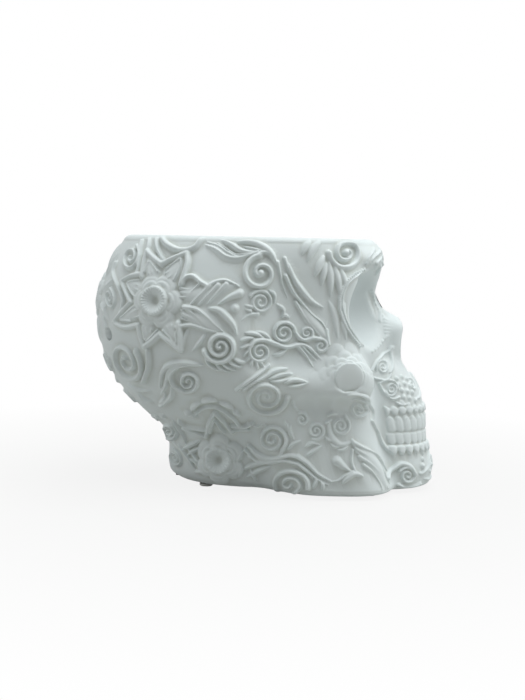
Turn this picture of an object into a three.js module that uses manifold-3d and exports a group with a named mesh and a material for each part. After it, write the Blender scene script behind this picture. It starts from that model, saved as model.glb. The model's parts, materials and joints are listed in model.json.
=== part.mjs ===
// A sugar skull wax warmer: a hollow porcelain skull with a wax dish in its open crown and a lamp inside.
// Millimetres, +Z up. The skull looks along +X, stands on z = 0 and is the same on both sides of y = 0.
import * as THREE from "three";
import { mergeVertices } from "three/addons/utils/BufferGeometryUtils.js";
import Module from "manifold-3d";

// Overall size of the skull
const SKULL_LENGTH = 167;
const SKULL_WIDTH = 112;
const SKULL_HEIGHT = 121;

// Porcelain shell
const WALL = 4.5;
const FLOOR = 4.5;
// Where the walls of the face meet those of the back and the lower walls the upper ones, and the base's upstand.
const FACE_SEAM_X = 2;
const LEVEL_SEAM_Z = 57;
const BASE_UPSTAND = 2;
const RIM_WIDTH = 6.5;
const RIM_ROUNDING = 3;
const LEDGE_DROP = 6;
const LEDGE_WIDTH = 4.5;
const LEDGE_HEIGHT = 9;
const VENT_DIAMETER = 6.3;
const VENT_HEIGHT = 74;
const VENT_SPACING = 48;

// Foot of the shell
const PAD_THICKNESS = 1.2;
const PAD_DIAMETER = 6.4;
const PAD_BEARINGS = { front: 36, rear: 164 };
const FOOT_ROUNDING = 4;
const FOOT_RING_WIDTH = 12;
const RECESS_DEPTH = 10.5;

// Wax dish
const DISH_WALL = 3;
const DISH_DEPTH = 16;
const DISH_CORNER = 9;
const DISH_CLEARANCE = 0.5;
const DISH_THROAT_CLEARANCE = 1;
const BULB_HEADROOM = 6.6;

// Lampholder and its fixing through the floor
const LAMP_X = -6;
const FIT = 0.2;
const SEAT_GAP = 0.3;
const NIPPLE_DIAMETER = 10;
const NIPPLE_WALL = 1.3;
const NIPPLE_CLEARANCE = 0.4;
const NIPPLE_END = 1.5;
const NUT_ACROSS_FLATS = 14;
const NUT_THICKNESS = 4;
const STEEL_WASHER = { diameter: 20, thickness: 1.2 };
const RUBBER_WASHER = { diameter: 22, thickness: 1.2 };
const WASHER_CLEARANCE = 1;
const BUSH = { lip: 0.8, thickness: 1.2, spigot: 6, wall: 1 };
const HOLDER_DIAMETER = 28;
const HOLDER_WALL = 2.2;
const HOLDER_CAP_HEIGHT = 8;
const HOLDER_CAP_FLOOR = 3;
const HOLDER_BODY_HEIGHT = 21;
const HOLDER_CHAMBER = 4.5;
const HOLDER_WEB = 2.4;
const TERMINAL = { head: 4.6, headHeight: 1.8, shank: 2.4, edge: 1.8 };
const CONTACT = { width: 4, thickness: 0.6, rise: 1.2, flat: 2.8, nose: 2.8, noseRise: 0.6 };
const SLEEVE_WALL = 0.8;
const SLEEVE_HEIGHT = 14;

// Bulb
const BULB_CAP_DIAMETER = 13.9;
const BULB_CAP_HEIGHT = 17;
const BULB_CAP_WALL = 0.5;
const BULB_TIP = { diameter: 4, face: 2.4, height: 0.8 };
const BULB_INSULATOR = { diameter: 9.2, face: 5.6, hole: 4.6, height: 1.6 };
const BULB_DIAMETER = 26;
const BULB_GLASS = 0.8;
const BULB_NECK_LENGTH = 5;
const STEM_ROD = 1.6;
const FILAMENT_WIRE = 0.5;
const FILAMENT_HALF_SPAN = 6;

// Shares of the rise from the bulb's cap to its round crown, of the glass's height and of the stem's height
const SHOULDER_PULL = { fromNeck: 0.254, toSide: 0.203 };
const STEM_SHARE = 0.413;
const FLARE_SHARE = 0.22;
const FILAMENT_SHARES = { tail: 0.5, bend: 0.25, shoulder: 0.25, middle: 0.17 };

// Cord inlet at the back of the foot
const INLET_BORE = 6;
const INLET_WALL = 1.1;
const INLET_FLANGE = { lip: 0.6, thickness: 1.4 };
const INLET_EDGE = 0.4;

// Facets
const ROUND = 24;
const SMALL_ROUND = 16;
const SHELL_COLUMNS = 76;
const SHELL_ROWS = 27;
const CAVITY_COLUMNS = 52;
const CAVITY_ROWS = 14;
const OUTLINE_COLUMNS = 48;
const FACE_CROWDING = 0.35;
const EDGE_CROWDING = 0.07;
const RAY = { reach: 0.7, steps: 63, halvings: 24 };
const WIRE = { steps: 26, segments: 3 };
const SHOULDER_STEPS = 7;
const DOME_STEPS = 6;
const TONGUE_STEPS = 10;
const SLIVER = 0.02;
const WELD = 1e-4;
const TINY = 1e-9;

// Heights that follow from the sizes above
const RECESS_TOP = PAD_THICKNESS + RECESS_DEPTH;
const FLOOR_TOP = RECESS_TOP + FLOOR;
const LEDGE_TOP = SKULL_HEIGHT - LEDGE_DROP;
const CAVITY_TOP = LEDGE_TOP - LEDGE_HEIGHT;
const HOLDER_BASE = FLOOR_TOP + RUBBER_WASHER.thickness;
const HOLDER_BODY_BASE = HOLDER_BASE + HOLDER_CAP_HEIGHT;
const WEB_TOP = HOLDER_BODY_BASE + HOLDER_CHAMBER + HOLDER_WEB;
const SLEEVE_OUTER = BULB_CAP_DIAMETER / 2 + SEAT_GAP + SLEEVE_WALL;
const BULB_BASE = WEB_TOP + CONTACT.rise + CONTACT.thickness + SEAT_GAP;
const BULB_CAP_BASE = BULB_BASE + BULB_TIP.height + BULB_INSULATOR.height;
const BULB_CAP_TOP = BULB_CAP_BASE + BULB_CAP_HEIGHT;
const DISH_LIP = LEDGE_TOP + DISH_WALL;
const WELL_FLOOR = DISH_LIP - DISH_DEPTH;
const DISH_UNDERSIDE = WELL_FLOOR - DISH_WALL;
const BULB_CROWN = DISH_UNDERSIDE - BULB_HEADROOM;

// The head was sculpted at this size, and the sizes of its features below belong to it.
const MASTER = { length: 167, width: 112, height: 121 };
const SCALE = new THREE.Vector3(
  SKULL_LENGTH / MASTER.length,
  SKULL_WIDTH / MASTER.width,
  SKULL_HEIGHT / MASTER.height,
);
const LEAST_SCALE = Math.min(SCALE.x, SCALE.y, SCALE.z);

// Bones that add to the head, each melting into the ones before it over its blend length.
const BONES = [
  { kind: "egg", at: [-13.4, 0, 80], size: [70, 56, 60], crown: 70, blend: 1 }, // cranium
  { kind: "egg", at: [6.6, 0, 108], size: [46, 47, 40], crown: 46, blend: 10 }, // forehead
  { kind: "egg", at: [17.6, 0, 60], size: [38, 44, 40], crown: 40, blend: 12 }, // middle of the face
  {
    kind: "column", // jaw
    x: 23.6,
    half: [31, 43.5],
    from: -6,
    to: 51,
    edge: 11,
    squareness: 3.2,
    lean: { heights: [2, 24, 50], shifts: [10, 2, -2] },
    blend: 7,
  },
  { kind: "column", x: -8.4, half: [40, 31], from: -5, to: 29, edge: 18, squareness: 2, blend: 14 }, // nape
  { kind: "egg", at: [35.6, 38, 54], size: [15, 14, 12], crown: 14, blend: 6 }, // cheekbone
  { kind: "bar", from: [31.6, 43, 54], to: [-4.4, 49, 58], radius: 5.5, blend: 9 }, // cheek arch
  { kind: "bar", from: [32.6, 38, 62], to: [35.6, 35, 100], radius: 6, blend: 8 }, // outer side of the eye
  {
    kind: "column", // teeth and chin
    x: 45.6,
    half: [33.5, 25],
    from: -6,
    to: 66,
    edge: 10,
    squareness: 2.3,
    lean: { heights: [0, 11, 23, 39, 49, 60, 70], shifts: [3.4, 4.6, 1, -0.6, -4.4, -11.5, -17] },
    blend: 3,
  },
  { kind: "bar", from: [41.6, 0, 103], to: [58.6, 0, 82], radius: 6, blend: 4 }, // bridge of the nose
  {
    kind: "column", // nose
    x: 51.6,
    half: [14.5, 11.5],
    from: 54,
    to: 83,
    edge: 5,
    squareness: 4,
    blend: 4,
  },
  { kind: "egg", at: [45.6, 11, 111], size: [9, 21, 7.5], crown: 8, blend: 7 }, // brow
];

// Hollows that are taken out of the head: the soft one first, then those with an edge of their own.
const TEMPLE = { kind: "egg", at: [16.6, 66, 83], size: [22, 17, 30], crown: 30, blend: 14 };
const EYE_SOCKET = { kind: "egg", at: [54.6, 26.5, 87], size: [25, 17, 15.5], crown: 18.5, blend: 5 };
const NOSTRIL = { kind: "egg", at: [68, 3.6, 68], size: [9, 4.6, 9], crown: 12, blend: 2 };

// The axis that the skull's horizontal sections are drawn around, at these heights of the master.
const SPINE = { heights: [0, 22, 62, 121], shifts: [15.6, 9.6, -2.4, -8.4] };

const wasm = await Module();
wasm.setup();

/** A smooth curve through shifts at rising heights, flat beyond both ends. */
function shiftAt({ heights, shifts }, height) {
  const last = heights.length - 1;
  if (height <= heights[0]) return shifts[0];
  if (height >= heights[last]) return shifts[last];
  const low = heights.findIndex((h) => h > height) - 1;
  const slope = (i) => {
    const [before, after] = [Math.max(i - 1, 0), Math.min(i + 1, last)];
    return (shifts[after] - shifts[before]) / (heights[after] - heights[before]);
  };
  const span = heights[low + 1] - heights[low];
  const t = (height - heights[low]) / span;
  const rest = 1 - t;
  return (
    shifts[low] * rest * rest * (1 + 2 * t) +
    shifts[low + 1] * t * t * (1 + 2 * rest) +
    span * t * rest * (slope(low) * rest - slope(low + 1) * t)
  );
}

/** Smooth least of two distances, rounded over the blend length. */
function melt(a, b, blend) {
  const share = THREE.MathUtils.clamp(0.5 + (0.5 * (b - a)) / blend, 0, 1);
  return THREE.MathUtils.lerp(b, a, share) - blend * share * (1 - share);
}

/** Smooth greatest of two distances. */
const cut = (a, b, blend) => -melt(-a, -b, blend);

const FORMS = {
  /** An ellipsoid whose upper half may be taller than its lower half. */
  egg({ at, size, crown }, p) {
    const high = p[2] > at[2] ? crown : size[2];
    const a = [(p[0] - at[0]) / size[0], (p[1] - at[1]) / size[1], (p[2] - at[2]) / high];
    const near = Math.hypot(...a) + TINY;
    const slope = Math.hypot(a[0] / size[0], a[1] / size[1], a[2] / high) + TINY;
    return (near * (near - 1)) / slope;
  },
  /** A round bar with ball ends. */
  bar({ from, to, radius }, p) {
    const line = to.map((v, i) => v - from[i]);
    const off = p.map((v, i) => v - from[i]);
    const dot = (u, v) => u[0] * v[0] + u[1] * v[1] + u[2] * v[2];
    const along = THREE.MathUtils.clamp(dot(off, line) / dot(line, line), 0, 1);
    return Math.hypot(...off.map((v, i) => v - along * line[i])) - radius;
  },
  /** An upright column of oval to squarish section, which may lean forwards or back. */
  column({ x, half, from, to, edge, squareness, lean }, p) {
    const centre = x + (lean ? shiftAt(lean, p[2]) : 0);
    const a = [Math.abs(p[0] - centre) / half[0], Math.abs(p[1]) / half[1]];
    const near = (a[0] ** squareness + a[1] ** squareness) ** (1 / squareness) + TINY;
    const slope = Math.hypot(a[0] / half[0], a[1] / half[1]) + TINY;
    const side = ((Math.hypot(...a) + TINY) * (near - 1)) / slope;
    return cut(side, Math.max(from - p[2], p[2] - to), edge);
  },
};

/** Distance to the head less some hollows, negative inside it. */
function boneDistance(x, y, z, hollows) {
  const p = [x / SCALE.x, Math.abs(y) / SCALE.y, z / SCALE.z];
  let distance = 1e6;
  for (const bone of BONES) distance = melt(distance, FORMS[bone.kind](bone, p), bone.blend);
  for (const hollow of hollows) distance = cut(distance, -FORMS[hollow.kind](hollow, p), hollow.blend);
  return distance * LEAST_SCALE;
}

/** Distance to the uncut head with all its hollows. */
const headDistance = (x, y, z) => boneDistance(x, y, z, [TEMPLE, EYE_SOCKET, NOSTRIL]);

/** Distance to the head before its eyes and nose are cut, its foot and crown flat with rounded edges. */
function skullDistance(x, y, z) {
  const footed = cut(boneDistance(x, y, z, [TEMPLE]), PAD_THICKNESS - z, FOOT_ROUNDING);
  return cut(footed, z - SKULL_HEIGHT, RIM_ROUNDING);
}

const spineAt = (z) => shiftAt(SPINE, z / SCALE.z) * SCALE.x;

/** Where a level ray from the spine last leaves the surface that lies an inset inside a distance field. */
function reach(field, bearing, z, inset) {
  const centre = spineAt(z);
  const inside = (r) => field(centre + r * Math.cos(bearing), r * Math.sin(bearing), z) < -inset;
  let out = SKULL_LENGTH * RAY.reach;
  const step = out / RAY.steps;
  while (out > step && !inside(out - step)) out -= step;
  let low = out - step;
  for (let i = 0; i < RAY.halvings; i++) {
    const middle = (low + out) / 2;
    if (inside(middle)) low = middle;
    else out = middle;
  }
  return new THREE.Vector3(centre + low * Math.cos(bearing), low * Math.sin(bearing), z);
}

/** Bearings round the spine, closer together at the face. */
function bearings(count) {
  return Array.from({ length: count }, (_, i) => {
    const turn = (2 * Math.PI * i) / count;
    return turn - FACE_CROWDING * Math.sin(turn);
  });
}

/** One level section of the head, as a ring of points. */
function ring(field, z, inset, count) {
  return bearings(count).map((bearing) => reach(field, bearing, z, inset));
}

/** The crown's outline at the rim, an inset inside the uncut head, set at a height. */
function mouthRing(inset, z) {
  return ring(headDistance, SKULL_HEIGHT, inset, OUTLINE_COLUMNS).map((p) => p.setZ(z));
}

/** A closed solid through rings of equal length, from the first up to the last, with flat or pointed ends. */
function loft(rings, firstCentre, lastCentre) {
  const count = rings[0].length;
  const points = [...rings.flat(), firstCentre, lastCentre];
  const first = points.length - 2;
  const faces = [];
  for (let i = 0; i < count; i++) {
    const next = (i + 1) % count;
    faces.push(first, next, i);
    for (let k = 0; k + 1 < rings.length; k++) {
      const low = k * count;
      const high = low + count;
      faces.push(low + i, low + next, high + next, low + i, high + next, high + i);
    }
    const top = (rings.length - 1) * count;
    faces.push(first + 1, top + i, top + next);
  }
  const geometry = new THREE.BufferGeometry().setFromPoints(points);
  geometry.setIndex(faces);
  return geometry;
}

const centreOf = (points) =>
  points.reduce((sum, p) => sum.add(p), new THREE.Vector3()).divideScalar(points.length);

const loftRings = (rings) => loft(rings, centreOf(rings[0]), centreOf(rings[rings.length - 1]));

/** A geometry as a solid that can be joined and cut. */
function solid(geometry) {
  const bare = geometry.clone();
  bare.deleteAttribute("normal");
  bare.deleteAttribute("uv");
  const merged = mergeVertices(bare, WELD);
  return new wasm.Manifold(
    new wasm.Mesh({
      numProp: 3,
      vertProperties: merged.attributes.position.array,
      triVerts: new Uint32Array(merged.index.array),
    }),
  );
}

/** A solid as a geometry. */
function geometryOf(made) {
  const mesh = made.getMesh();
  const geometry = new THREE.BufferGeometry();
  geometry.setAttribute("position", new THREE.BufferAttribute(mesh.vertProperties, 3));
  geometry.setIndex(new THREE.BufferAttribute(mesh.triVerts, 1));
  geometry.computeVertexNormals();
  return geometry;
}

/** A turned piece on the Z axis, from [radius, height] points that close on themselves or on the axis. */
function turned(profile, segments = ROUND) {
  const onAxis = profile[0][0] === 0 && profile[profile.length - 1][0] === 0;
  const points = (onAxis ? profile : [...profile, profile[0]]).map(([r, z]) => new THREE.Vector2(r, z));
  return new THREE.LatheGeometry(points, segments).rotateX(Math.PI / 2);
}

/** A turned tube between two heights. */
const tube = (outer, inner, low, high, segments = ROUND) =>
  turned([[inner, low], [outer, low], [outer, high], [inner, high]], segments);

/** A turned solid rod between two heights. */
const plug = (radius, low, high) => turned([[0, low], [radius, low], [radius, high], [0, high]]);

/** An egg-shaped cutter for one side of the head. */
function eggCutter({ at, size, crown }, side) {
  const egg = new THREE.SphereGeometry(1, SMALL_ROUND, SMALL_ROUND / 2).rotateX(Math.PI / 2);
  const points = egg.attributes.position;
  for (let i = 0; i < points.count; i++) {
    const high = points.getZ(i) > 0 ? crown : size[2];
    points.setXYZ(i, points.getX(i) * size[0], points.getY(i) * size[1], points.getZ(i) * high);
  }
  return egg.translate(at[0], side * at[1], at[2]).scale(SCALE.x, SCALE.y, SCALE.z);
}

/** A level rod along X between two places. */
const levelRod = (diameter, from, to, y, z) =>
  new THREE.CylinderGeometry(diameter / 2, diameter / 2, to - from, SMALL_ROUND)
    .rotateZ(Math.PI / 2)
    .translate((from + to) / 2, y, z);

const material = (color, roughness, metalness = 0) =>
  new THREE.MeshStandardMaterial({ color, roughness, metalness });

const MATERIALS = {
  bisque: material(0xdfe5e4, 0.75),
  glaze: material(0xf0f1ee, 0.2),
  pad: material(0xdadad6, 0.7),
  rubber: material(0x26262a, 0.8),
  steel: material(0xa8abb0, 0.35, 1),
  brass: material(0xb8954a, 0.3, 1),
  phenolic: material(0x1f1d1c, 0.4),
  nylon: material(0xe6e4dc, 0.5),
  capMetal: material(0xc4c6c8, 0.3, 1),
  glass: material(0xf4f4f0, 0.1),
  tungsten: material(0x6b6a68, 0.5, 1),
};

const skull = new THREE.Group();
skull.name = "sugar_skull_warmer";

function add(parent, name, geometry, look) {
  const mesh = new THREE.Mesh(geometry, look);
  mesh.name = name;
  parent.add(mesh);
  return mesh;
}

// Cord inlet, low in the back of the foot
const INLET_HOLE = INLET_BORE + 2 * (INLET_WALL + SEAT_GAP);
const INLET_FLANGE_DIAMETER = INLET_HOLE + 2 * INLET_FLANGE.lip;
const INLET_Z = PAD_THICKNESS + INLET_EDGE + INLET_FLANGE_DIAMETER / 2;

/** The underside's recess, a foot ring inside the outline of the foot. */
const recessRing = (z) =>
  ring(headDistance, RECESS_TOP, FOOT_RING_WIDTH, OUTLINE_COLUMNS).map((p) => p.setZ(z));

/** Where the recess ends at the back. */
const recessBack = () => Math.min(...recessRing(0).map((p) => p.x));

/** The skull's outside, closed flat at its foot and its crown. */
function outerForm() {
  const rise = SKULL_HEIGHT - PAD_THICKNESS;
  const rings = Array.from({ length: SHELL_ROWS }, (_, k) => {
    const share = k / (SHELL_ROWS - 1);
    const crowded = share - EDGE_CROWDING * Math.sin(2 * Math.PI * share);
    const z = PAD_THICKNESS + rise * crowded;
    const probe = THREE.MathUtils.clamp(z, PAD_THICKNESS + SLIVER, SKULL_HEIGHT - SLIVER);
    return ring(skullDistance, probe, 0, SHELL_COLUMNS).map((p) => p.setZ(z));
  });
  return loftRings(rings);
}

/** The hollow that the lamp stands in, from the floor up to the underside of the dish ledge. */
function lampChamber() {
  const rings = Array.from({ length: CAVITY_ROWS }, (_, k) => {
    const z = THREE.MathUtils.lerp(FLOOR_TOP, CAVITY_TOP, k / (CAVITY_ROWS - 1));
    return ring(headDistance, z, WALL, CAVITY_COLUMNS);
  });
  return loftRings(rings);
}

function buildShell() {
  const overlap = 1;
  const throat = loftRings([
    mouthRing(RIM_WIDTH + LEDGE_WIDTH, CAVITY_TOP - overlap),
    mouthRing(RIM_WIDTH + LEDGE_WIDTH, LEDGE_TOP + overlap),
  ]);
  const mouth = loftRings([
    mouthRing(RIM_WIDTH, LEDGE_TOP),
    mouthRing(RIM_WIDTH, SKULL_HEIGHT + overlap),
  ]);
  const recess = loftRings([recessRing(PAD_THICKNESS - overlap), recessRing(RECESS_TOP)]);
  const nippleRoom = NIPPLE_DIAMETER / 2 + NIPPLE_CLEARANCE;
  const nippleHole = plug(nippleRoom, RECESS_TOP - overlap, FLOOR_TOP + overlap);
  const washerRoom = RUBBER_WASHER.diameter / 2 + WASHER_CLEARANCE;
  const washerPocket = plug(washerRoom, PAD_THICKNESS - overlap, RECESS_TOP);
  const lampHoles = [nippleHole, washerPocket].map((hole) => hole.translate(LAMP_X, 0, 0));
  const seat = recessBack();
  const inlet = levelRod(INLET_HOLE, -SKULL_LENGTH, seat + overlap, 0, INLET_Z);
  const inletSeat = levelRod(
    INLET_FLANGE_DIAMETER + 2 * SEAT_GAP,
    seat,
    seat + INLET_FLANGE_DIAMETER,
    0,
    INLET_Z,
  );
  let shell = solid(outerForm());
  for (const hollow of [lampChamber(), throat, mouth, recess, ...lampHoles, inlet, inletSeat])
    shell = shell.subtract(solid(hollow));
  for (const side of [-1, 1])
    for (const socket of [EYE_SOCKET, NOSTRIL]) shell = shell.subtract(solid(eggCutter(socket, side)));
  for (const side of [-1, 1]) {
    const y = (side * VENT_SPACING) / 2;
    const vent = levelRod(VENT_DIAMETER, -SKULL_LENGTH, spineAt(VENT_HEIGHT), y, VENT_HEIGHT);
    shell = shell.subtract(solid(vent));
  }
  // Pressed as lower and upper walls, each a face and a back of two halves, luted to a base and to each other.
  const [walls, base] = shell.splitByPlane([0, 0, 1], FLOOR_TOP + BASE_UPSTAND);
  const [upper, lower] = walls.splitByPlane([0, 0, 1], LEVEL_SEAM_Z);
  for (const [level, wall] of Object.entries({ lower, upper })) {
    const [face, back] = wall.splitByPlane([1, 0, 0], FACE_SEAM_X);
    for (const [end, piece] of Object.entries({ face, back })) {
      const [left, right] = piece.splitByPlane([0, 1, 0], 0);
      add(skull, `skull_shell_${level}_${end}_left`, geometryOf(left), MATERIALS.bisque);
      add(skull, `skull_shell_${level}_${end}_right`, geometryOf(right), MATERIALS.bisque);
    }
  }
  add(skull, "skull_shell_base", geometryOf(base), MATERIALS.bisque);
}

function buildDish() {
  const flangeOuter = RIM_WIDTH + DISH_CLEARANCE;
  const bowlOuter = RIM_WIDTH + LEDGE_WIDTH + DISH_THROAT_CLEARANCE;
  const bowlInner = bowlOuter + DISH_WALL;
  const bend = DISH_CORNER * (1 - Math.SQRT1_2);
  const outline = [
    [bowlOuter + DISH_CORNER, DISH_UNDERSIDE],
    [bowlOuter + bend, DISH_UNDERSIDE + bend],
    [bowlOuter, DISH_UNDERSIDE + DISH_CORNER],
    [bowlOuter, LEDGE_TOP],
    [flangeOuter, LEDGE_TOP],
    [flangeOuter, DISH_LIP],
    [bowlInner, DISH_LIP],
    [bowlInner, WELL_FLOOR + DISH_CORNER],
    [bowlInner + bend, WELL_FLOOR + bend],
    [bowlInner + DISH_CORNER, WELL_FLOOR],
  ];
  const dish = loftRings(outline.map(([inset, z]) => mouthRing(inset, z)));
  add(skull, "wax_dish", dish, MATERIALS.glaze);
}

/** Pads half way across the flat of the foot ring. */
function buildFeet() {
  for (const [end, bearing] of Object.entries(PAD_BEARINGS)) {
    for (const [side, sign] of [["left", 1], ["right", -1]]) {
      const turn = THREE.MathUtils.degToRad(bearing) * sign;
      const outer = reach(skullDistance, turn, PAD_THICKNESS + SLIVER, 0);
      const inner = reach(headDistance, turn, RECESS_TOP, FOOT_RING_WIDTH);
      const at = outer.add(inner).divideScalar(2);
      const radius = PAD_DIAMETER / 2;
      const pad = new THREE.CylinderGeometry(radius, radius, PAD_THICKNESS, SMALL_ROUND);
      pad.rotateX(Math.PI / 2);
      const mesh = add(skull, `foot_pad_${end}_${side}`, pad, MATERIALS.pad);
      mesh.position.set(at.x, at.y, PAD_THICKNESS / 2);
    }
  }
}

function buildInlet() {
  const outer = INLET_BORE / 2 + INLET_WALL;
  const wall = reach(headDistance, Math.PI, INLET_Z, 0).x;
  const seat = recessBack() + SEAT_GAP;
  const flangeFace = seat + INLET_FLANGE.thickness;
  const sleeve = turned(
    [
      [INLET_BORE / 2, wall],
      [outer, wall],
      [outer, seat],
      [INLET_FLANGE_DIAMETER / 2, seat],
      [INLET_FLANGE_DIAMETER / 2, flangeFace],
      [INLET_BORE / 2, flangeFace],
    ],
    SMALL_ROUND,
  ).rotateY(Math.PI / 2);
  const mesh = add(skull, "cord_inlet_grommet", sleeve, MATERIALS.rubber);
  mesh.position.set(0, 0, INLET_Z);
}

/** Nipple, nut and washers that clamp the lampholder to the floor. */
function buildFixing(lamp) {
  const nippleOuter = NIPPLE_DIAMETER / 2;
  const nippleBore = nippleOuter - NIPPLE_WALL;
  const hole = nippleOuter + FIT;
  const rubberLow = RECESS_TOP - RUBBER_WASHER.thickness;
  const steelLow = rubberLow - STEEL_WASHER.thickness;
  const nutLow = steelLow - NUT_THICKNESS;
  const nippleLow = nutLow - NIPPLE_END;
  const nippleHigh = HOLDER_BASE + HOLDER_CAP_FLOOR + NIPPLE_END;
  const rubber = RUBBER_WASHER.diameter / 2;
  const nipple = tube(nippleOuter, nippleBore, nippleLow, nippleHigh);
  add(lamp, "threaded_nipple", nipple, MATERIALS.steel);
  add(lamp, "lower_rubber_washer", tube(rubber, hole, rubberLow, RECESS_TOP), MATERIALS.rubber);
  add(lamp, "upper_rubber_washer", tube(rubber, hole, FLOOR_TOP, HOLDER_BASE), MATERIALS.rubber);
  const steel = tube(STEEL_WASHER.diameter / 2, hole, steelLow, rubberLow);
  add(lamp, "steel_washer", steel, MATERIALS.steel);

  const flats = 6;
  const corner = NUT_ACROSS_FLATS / 2 / Math.cos(Math.PI / flats);
  const hexagon = new THREE.Shape().setFromPoints(
    Array.from({ length: flats }, (_, i) => {
      const turn = (2 * Math.PI * i) / flats;
      return new THREE.Vector2(corner * Math.cos(turn), corner * Math.sin(turn));
    }),
  );
  hexagon.holes.push(new THREE.Path().absarc(0, 0, hole, 0, 2 * Math.PI, true));
  const nut = new THREE.ExtrudeGeometry(hexagon, {
    depth: NUT_THICKNESS,
    bevelEnabled: false,
    curveSegments: ROUND / 2,
  });
  add(lamp, "lock_nut", nut, MATERIALS.steel).position.z = nutLow;

  const spigot = nippleBore - FIT;
  const cordHole = spigot - BUSH.wall;
  const flange = nippleOuter + BUSH.lip;
  const bush = turned(
    [
      [cordHole, nippleLow - BUSH.thickness],
      [flange, nippleLow - BUSH.thickness],
      [flange, nippleLow],
      [spigot, nippleLow],
      [spigot, nippleLow + BUSH.spigot],
      [cordHole, nippleLow + BUSH.spigot],
    ],
    SMALL_ROUND,
  );
  add(lamp, "cord_bush", bush, MATERIALS.nylon);
}

/** Cap, body, contacts and terminals of the lampholder. */
function buildHolder(lamp) {
  const outer = HOLDER_DIAMETER / 2;
  const inner = outer - HOLDER_WALL;
  const hole = NIPPLE_DIAMETER / 2 + FIT;
  const capFloor = HOLDER_BASE + HOLDER_CAP_FLOOR;
  const cap = turned([
    [hole, HOLDER_BASE],
    [outer, HOLDER_BASE],
    [outer, HOLDER_BODY_BASE],
    [inner, HOLDER_BODY_BASE],
    [inner, capFloor],
    [hole, capFloor],
  ]);
  add(lamp, "holder_cap", cap, MATERIALS.phenolic);

  const bodyTop = HOLDER_BODY_BASE + HOLDER_BODY_HEIGHT;
  const webLow = WEB_TOP - HOLDER_WEB;
  const socket = SLEEVE_OUTER + SEAT_GAP;
  const body = turned([
    [0, webLow],
    [inner, webLow],
    [inner, HOLDER_BODY_BASE],
    [outer, HOLDER_BODY_BASE],
    [outer, bodyTop - HOLDER_WALL],
    [outer - HOLDER_WALL, bodyTop],
    [socket, bodyTop],
    [socket, WEB_TOP],
    [0, WEB_TOP],
  ]);
  const terminalX = inner - TERMINAL.head / 2 - TERMINAL.edge;
  const shank = TERMINAL.shank / 2;
  const drilled = [-1, 1].reduce(
    (made, side) =>
      made.subtract(
        solid(
          new THREE.CylinderGeometry(shank + FIT, shank + FIT, 3 * HOLDER_WEB, SMALL_ROUND)
            .rotateX(Math.PI / 2)
            .translate(side * terminalX, 0, WEB_TOP),
        ),
      ),
    solid(body),
  );
  add(lamp, "holder_body", geometryOf(drilled), MATERIALS.phenolic);

  const sleeve = tube(SLEEVE_OUTER, SLEEVE_OUTER - SLEEVE_WALL, WEB_TOP, WEB_TOP + SLEEVE_HEIGHT);
  add(lamp, "screw_sleeve", sleeve, MATERIALS.brass);

  const screw = turned(
    [
      [0, webLow - TERMINAL.headHeight],
      [TERMINAL.head / 2, webLow - TERMINAL.headHeight],
      [TERMINAL.head / 2, webLow],
      [shank, webLow],
      [shank, WEB_TOP - FIT],
      [0, WEB_TOP - FIT],
    ],
    SMALL_ROUND,
  );
  for (const [pole, side] of [["live", -1], ["neutral", 1]])
    add(lamp, `terminal_screw_${pole}`, screw.clone(), MATERIALS.brass).position.x = side * terminalX;

  // A sprung tongue: flat on the web at its tail, arched under the bulb's tip.
  const tail = SLEEVE_OUTER - SLEEVE_WALL - SEAT_GAP;
  const tongueLine = new THREE.CatmullRomCurve3([
    new THREE.Vector3(-tail, 0, 0),
    new THREE.Vector3(CONTACT.flat - tail, 0, 0),
    new THREE.Vector3(0, 0, CONTACT.rise),
    new THREE.Vector3(CONTACT.nose, 0, CONTACT.noseRise),
  ]);
  const low = tongueLine.getPoints(TONGUE_STEPS).map((p) => new THREE.Vector2(p.x, Math.max(p.z, 0)));
  const high = low.map((p) => new THREE.Vector2(p.x, p.y + CONTACT.thickness)).reverse();
  const tongue = new THREE.ExtrudeGeometry(new THREE.Shape([...low, ...high]), {
    depth: CONTACT.width,
    bevelEnabled: false,
  });
  tongue.rotateX(Math.PI / 2).translate(0, CONTACT.width / 2, WEB_TOP);
  add(lamp, "centre_contact", tongue, MATERIALS.brass);
}

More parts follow.
